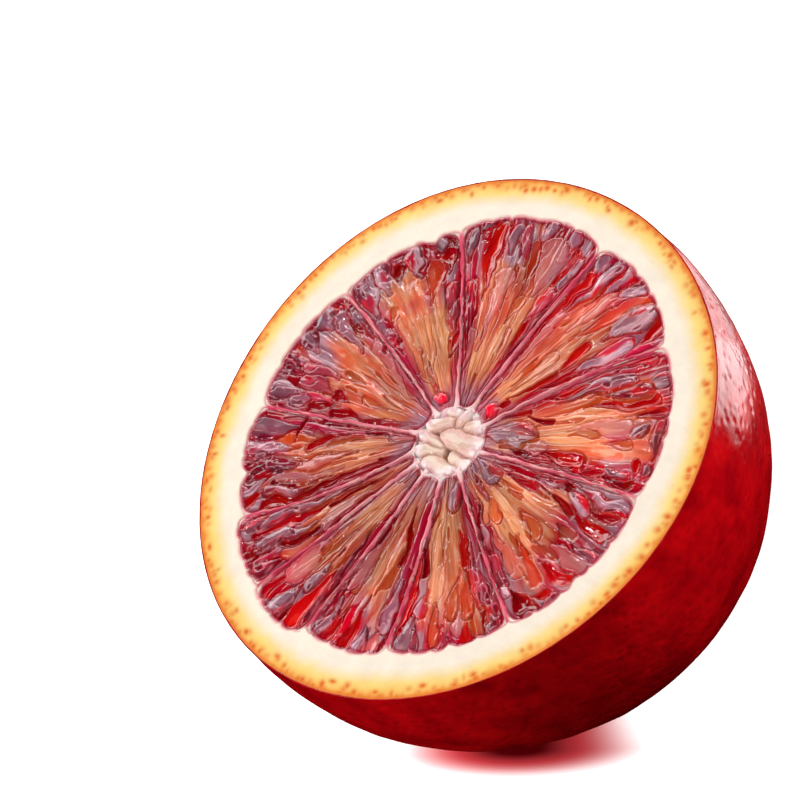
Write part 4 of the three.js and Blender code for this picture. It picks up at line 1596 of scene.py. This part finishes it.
def add_camera():
    camera = bpy.data.objects.new("camera", bpy.data.cameras.new("camera"))
    bpy.context.scene.collection.objects.link(camera)
    camera.data.lens = LENS
    camera.data.sensor_width = SENSOR
    turned = Matrix.Rotation(CAMERA_TURN, 4, "Z") @ Matrix.Rotation(CAMERA_TILT, 4, "X")
    turned = turned @ Matrix.Rotation(CAMERA_ROLL, 4, "Z")
    middle = Vector((CAMERA_SHIFT, 0.0, CUT_HEIGHT * MM))
    camera.matrix_world = Matrix.Translation(middle + CAMERA_OFFSET) @ turned
    bpy.context.scene.camera = camera


def add_softbox(
    name, place, width, height, power, straight_up=False, diffuse=True, gloss=True,
):
    """A rectangular lamp, never seen by the camera itself, that faces the fruit or up."""
    place = Vector(place)
    towards = Vector((0, 0, -1)) if straight_up else place - BODY_MIDDLE
    lamp = bpy.data.lights.new(name, "AREA")
    lamp.shape = "RECTANGLE"
    lamp.size = width
    lamp.size_y = height
    lamp.energy = power
    box = bpy.data.objects.new(name, lamp)
    bpy.context.scene.collection.objects.link(box)
    facing = towards.to_track_quat("Z", "Y").to_matrix().to_4x4()
    box.matrix_world = Matrix.Translation(place) @ facing
    box.visible_camera = False
    box.visible_diffuse = diffuse
    box.visible_glossy = gloss


def add_board(name, level, material):
    """A wide board at a level, which doesn't show in the fruit's gloss."""
    deselect_all()
    bpy.ops.mesh.primitive_plane_add(size=BOARD_SIZE, location=(0, 0, level))
    board = new_piece(name)
    board.data.materials.append(material)
    board.visible_glossy = False
    return board


def make_stage():
    # The white board throws no light up at the fruit: dark velvet stands in for it there, so
    # that the skin keeps its depth.
    add_board("floor", 0, white_sweep()).visible_diffuse = False
    add_board("velvet", -2 * MM, dark_velvet())

    world = bpy.data.worlds.new("white_room")
    world.use_nodes = True
    sky = world.node_tree.nodes["Background"]
    sky.inputs["Color"].default_value = (1, 1, 1, 1)
    # A white wall stands beyond the board, and throws only half of its light on the fruit.
    ray = add_node(world.node_tree, "ShaderNodeLightPath")
    strength = add_node(world.node_tree, "ShaderNodeMath", {
        0: ray.outputs["Is Camera Ray"], 1: 0.50, 2: 0.50,
    }, operation="MULTIPLY_ADD")
    world.node_tree.links.new(strength.outputs["Value"], sky.inputs["Strength"])
    # Dark flags stand round the fruit, so that its gloss shows nothing but the softboxes.
    world.cycles_visibility.glossy = False
    bpy.context.scene.world = world
    bpy.context.scene.view_settings.view_transform = "Standard"

    # Lights the colours.
    add_softbox("top", (-0.15, 0.30, 0.70), 0.40, 0.40, 2.8, gloss=False)
    add_softbox("right", (0.60, -0.26, 0.06), 0.30, 0.20, 5.8, gloss=False)
    add_softbox("left", (-0.58, 0.14, 0.10), 0.30, 0.25, 2.9, gloss=False)
    # Shows only in the gloss: a wide window, sparks, and two cards by the fruit's right side.
    add_softbox("window", (0.10, 0.62, 0.36), 0.60, 0.26, 1.9, diffuse=False)
    add_softbox("spark", (-0.40, 0.25, 0.60), 0.07, 0.07, 0.4, diffuse=False)
    add_softbox("second_spark", (0.20, 0.45, 0.50), 0.05, 0.05, 0.3, diffuse=False)
    add_softbox("low_card", (0.066, -0.0155, 0.0015), 0.026, 0.031, 0.0140, straight_up=True,
                diffuse=False)
    add_softbox("far_card", (0.066, 0.016, 0.0015), 0.026, 0.030, 0.0058, straight_up=True,
                diffuse=False)
    add_softbox("behind", (0.42, 0.40, 0.10), 0.25, 0.20, 0.7)
    add_camera()


# ---- operators ----------------------------------------------------------------------------


class BLOODORANGE_OT_stage(bpy.types.Operator):
    """Sets up the pale floor, the soft light and the camera"""

    bl_idname = "blood_orange.stage"
    bl_label = "Stage"

    def execute(self, context):
        make_stage()
        return {"FINISHED"}


class BLOODORANGE_OT_skin(bpy.types.Operator):
    """Makes the pored skin, from the knife's edge down to the flat spot it stands on"""

    bl_idname = "blood_orange.skin"
    bl_label = "Skin"

    def execute(self, context):
        make_skin(context.scene.blood_orange)
        return {"FINISHED"}


class BLOODORANGE_OT_pith(bpy.types.Operator):
    """Makes the bowl of pith with its oil glands and the lobed hollow for the pulp"""

    bl_idname = "blood_orange.pith"
    bl_label = "Pith"

    def execute(self, context):
        make_pith(context.scene.blood_orange)
        return {"FINISHED"}


class BLOODORANGE_OT_core(bpy.types.Operator):
    """Makes the core column with its cut strands"""

    bl_idname = "blood_orange.core"
    bl_label = "Core"

    def execute(self, context):
        make_core()
        return {"FINISHED"}


class BLOODORANGE_OT_membranes(bpy.types.Operator):
    """Makes the membranes between the segments"""

    bl_idname = "blood_orange.membranes"
    bl_label = "Membranes"

    def execute(self, context):
        make_membranes()
        return {"FINISHED"}


class BLOODORANGE_OT_pulp(bpy.types.Operator):
    """Makes the wedges of juice sacs"""

    bl_idname = "blood_orange.pulp"
    bl_label = "Pulp"

    def execute(self, context):
        material = wet_juice_sacs()
        for index in range(SEGMENTS):
            make_pulp(index, context.scene.blood_orange, material)
        return {"FINISHED"}


OPERATORS = (
    BLOODORANGE_OT_stage,
    BLOODORANGE_OT_skin,
    BLOODORANGE_OT_pith,
    BLOODORANGE_OT_core,
    BLOODORANGE_OT_membranes,
    BLOODORANGE_OT_pulp,
)


class BLOODORANGE_PT_panel(bpy.types.Panel):
    """Lists the half's settings and the steps that build it"""

    bl_label = "Blood orange half"
    bl_space_type = "VIEW_3D"
    bl_region_type = "UI"
    bl_category = "Blood orange"

    def draw(self, context):
        settings = context.scene.blood_orange
        for name in BloodOrangeSettings.__annotations__:
            self.layout.prop(settings, name)
        for operator in OPERATORS:
            self.layout.operator(operator.bl_idname)


CLASSES = (BloodOrangeSettings, *OPERATORS, BLOODORANGE_PT_panel)


def register():
    for cls in CLASSES:
        bpy.utils.register_class(cls)
    bpy.types.Scene.blood_orange = PointerProperty(type=BloodOrangeSettings)


def unregister():
    del bpy.types.Scene.blood_orange
    for cls in reversed(CLASSES):
        bpy.utils.unregister_class(cls)


def main():
    register()
    bpy.ops.blood_orange.stage()
    bpy.ops.blood_orange.skin()
    bpy.ops.blood_orange.pith()
    bpy.ops.blood_orange.core()
    bpy.ops.blood_orange.membranes()
    bpy.ops.blood_orange.pulp()


if __name__ == "__main__":
    main()
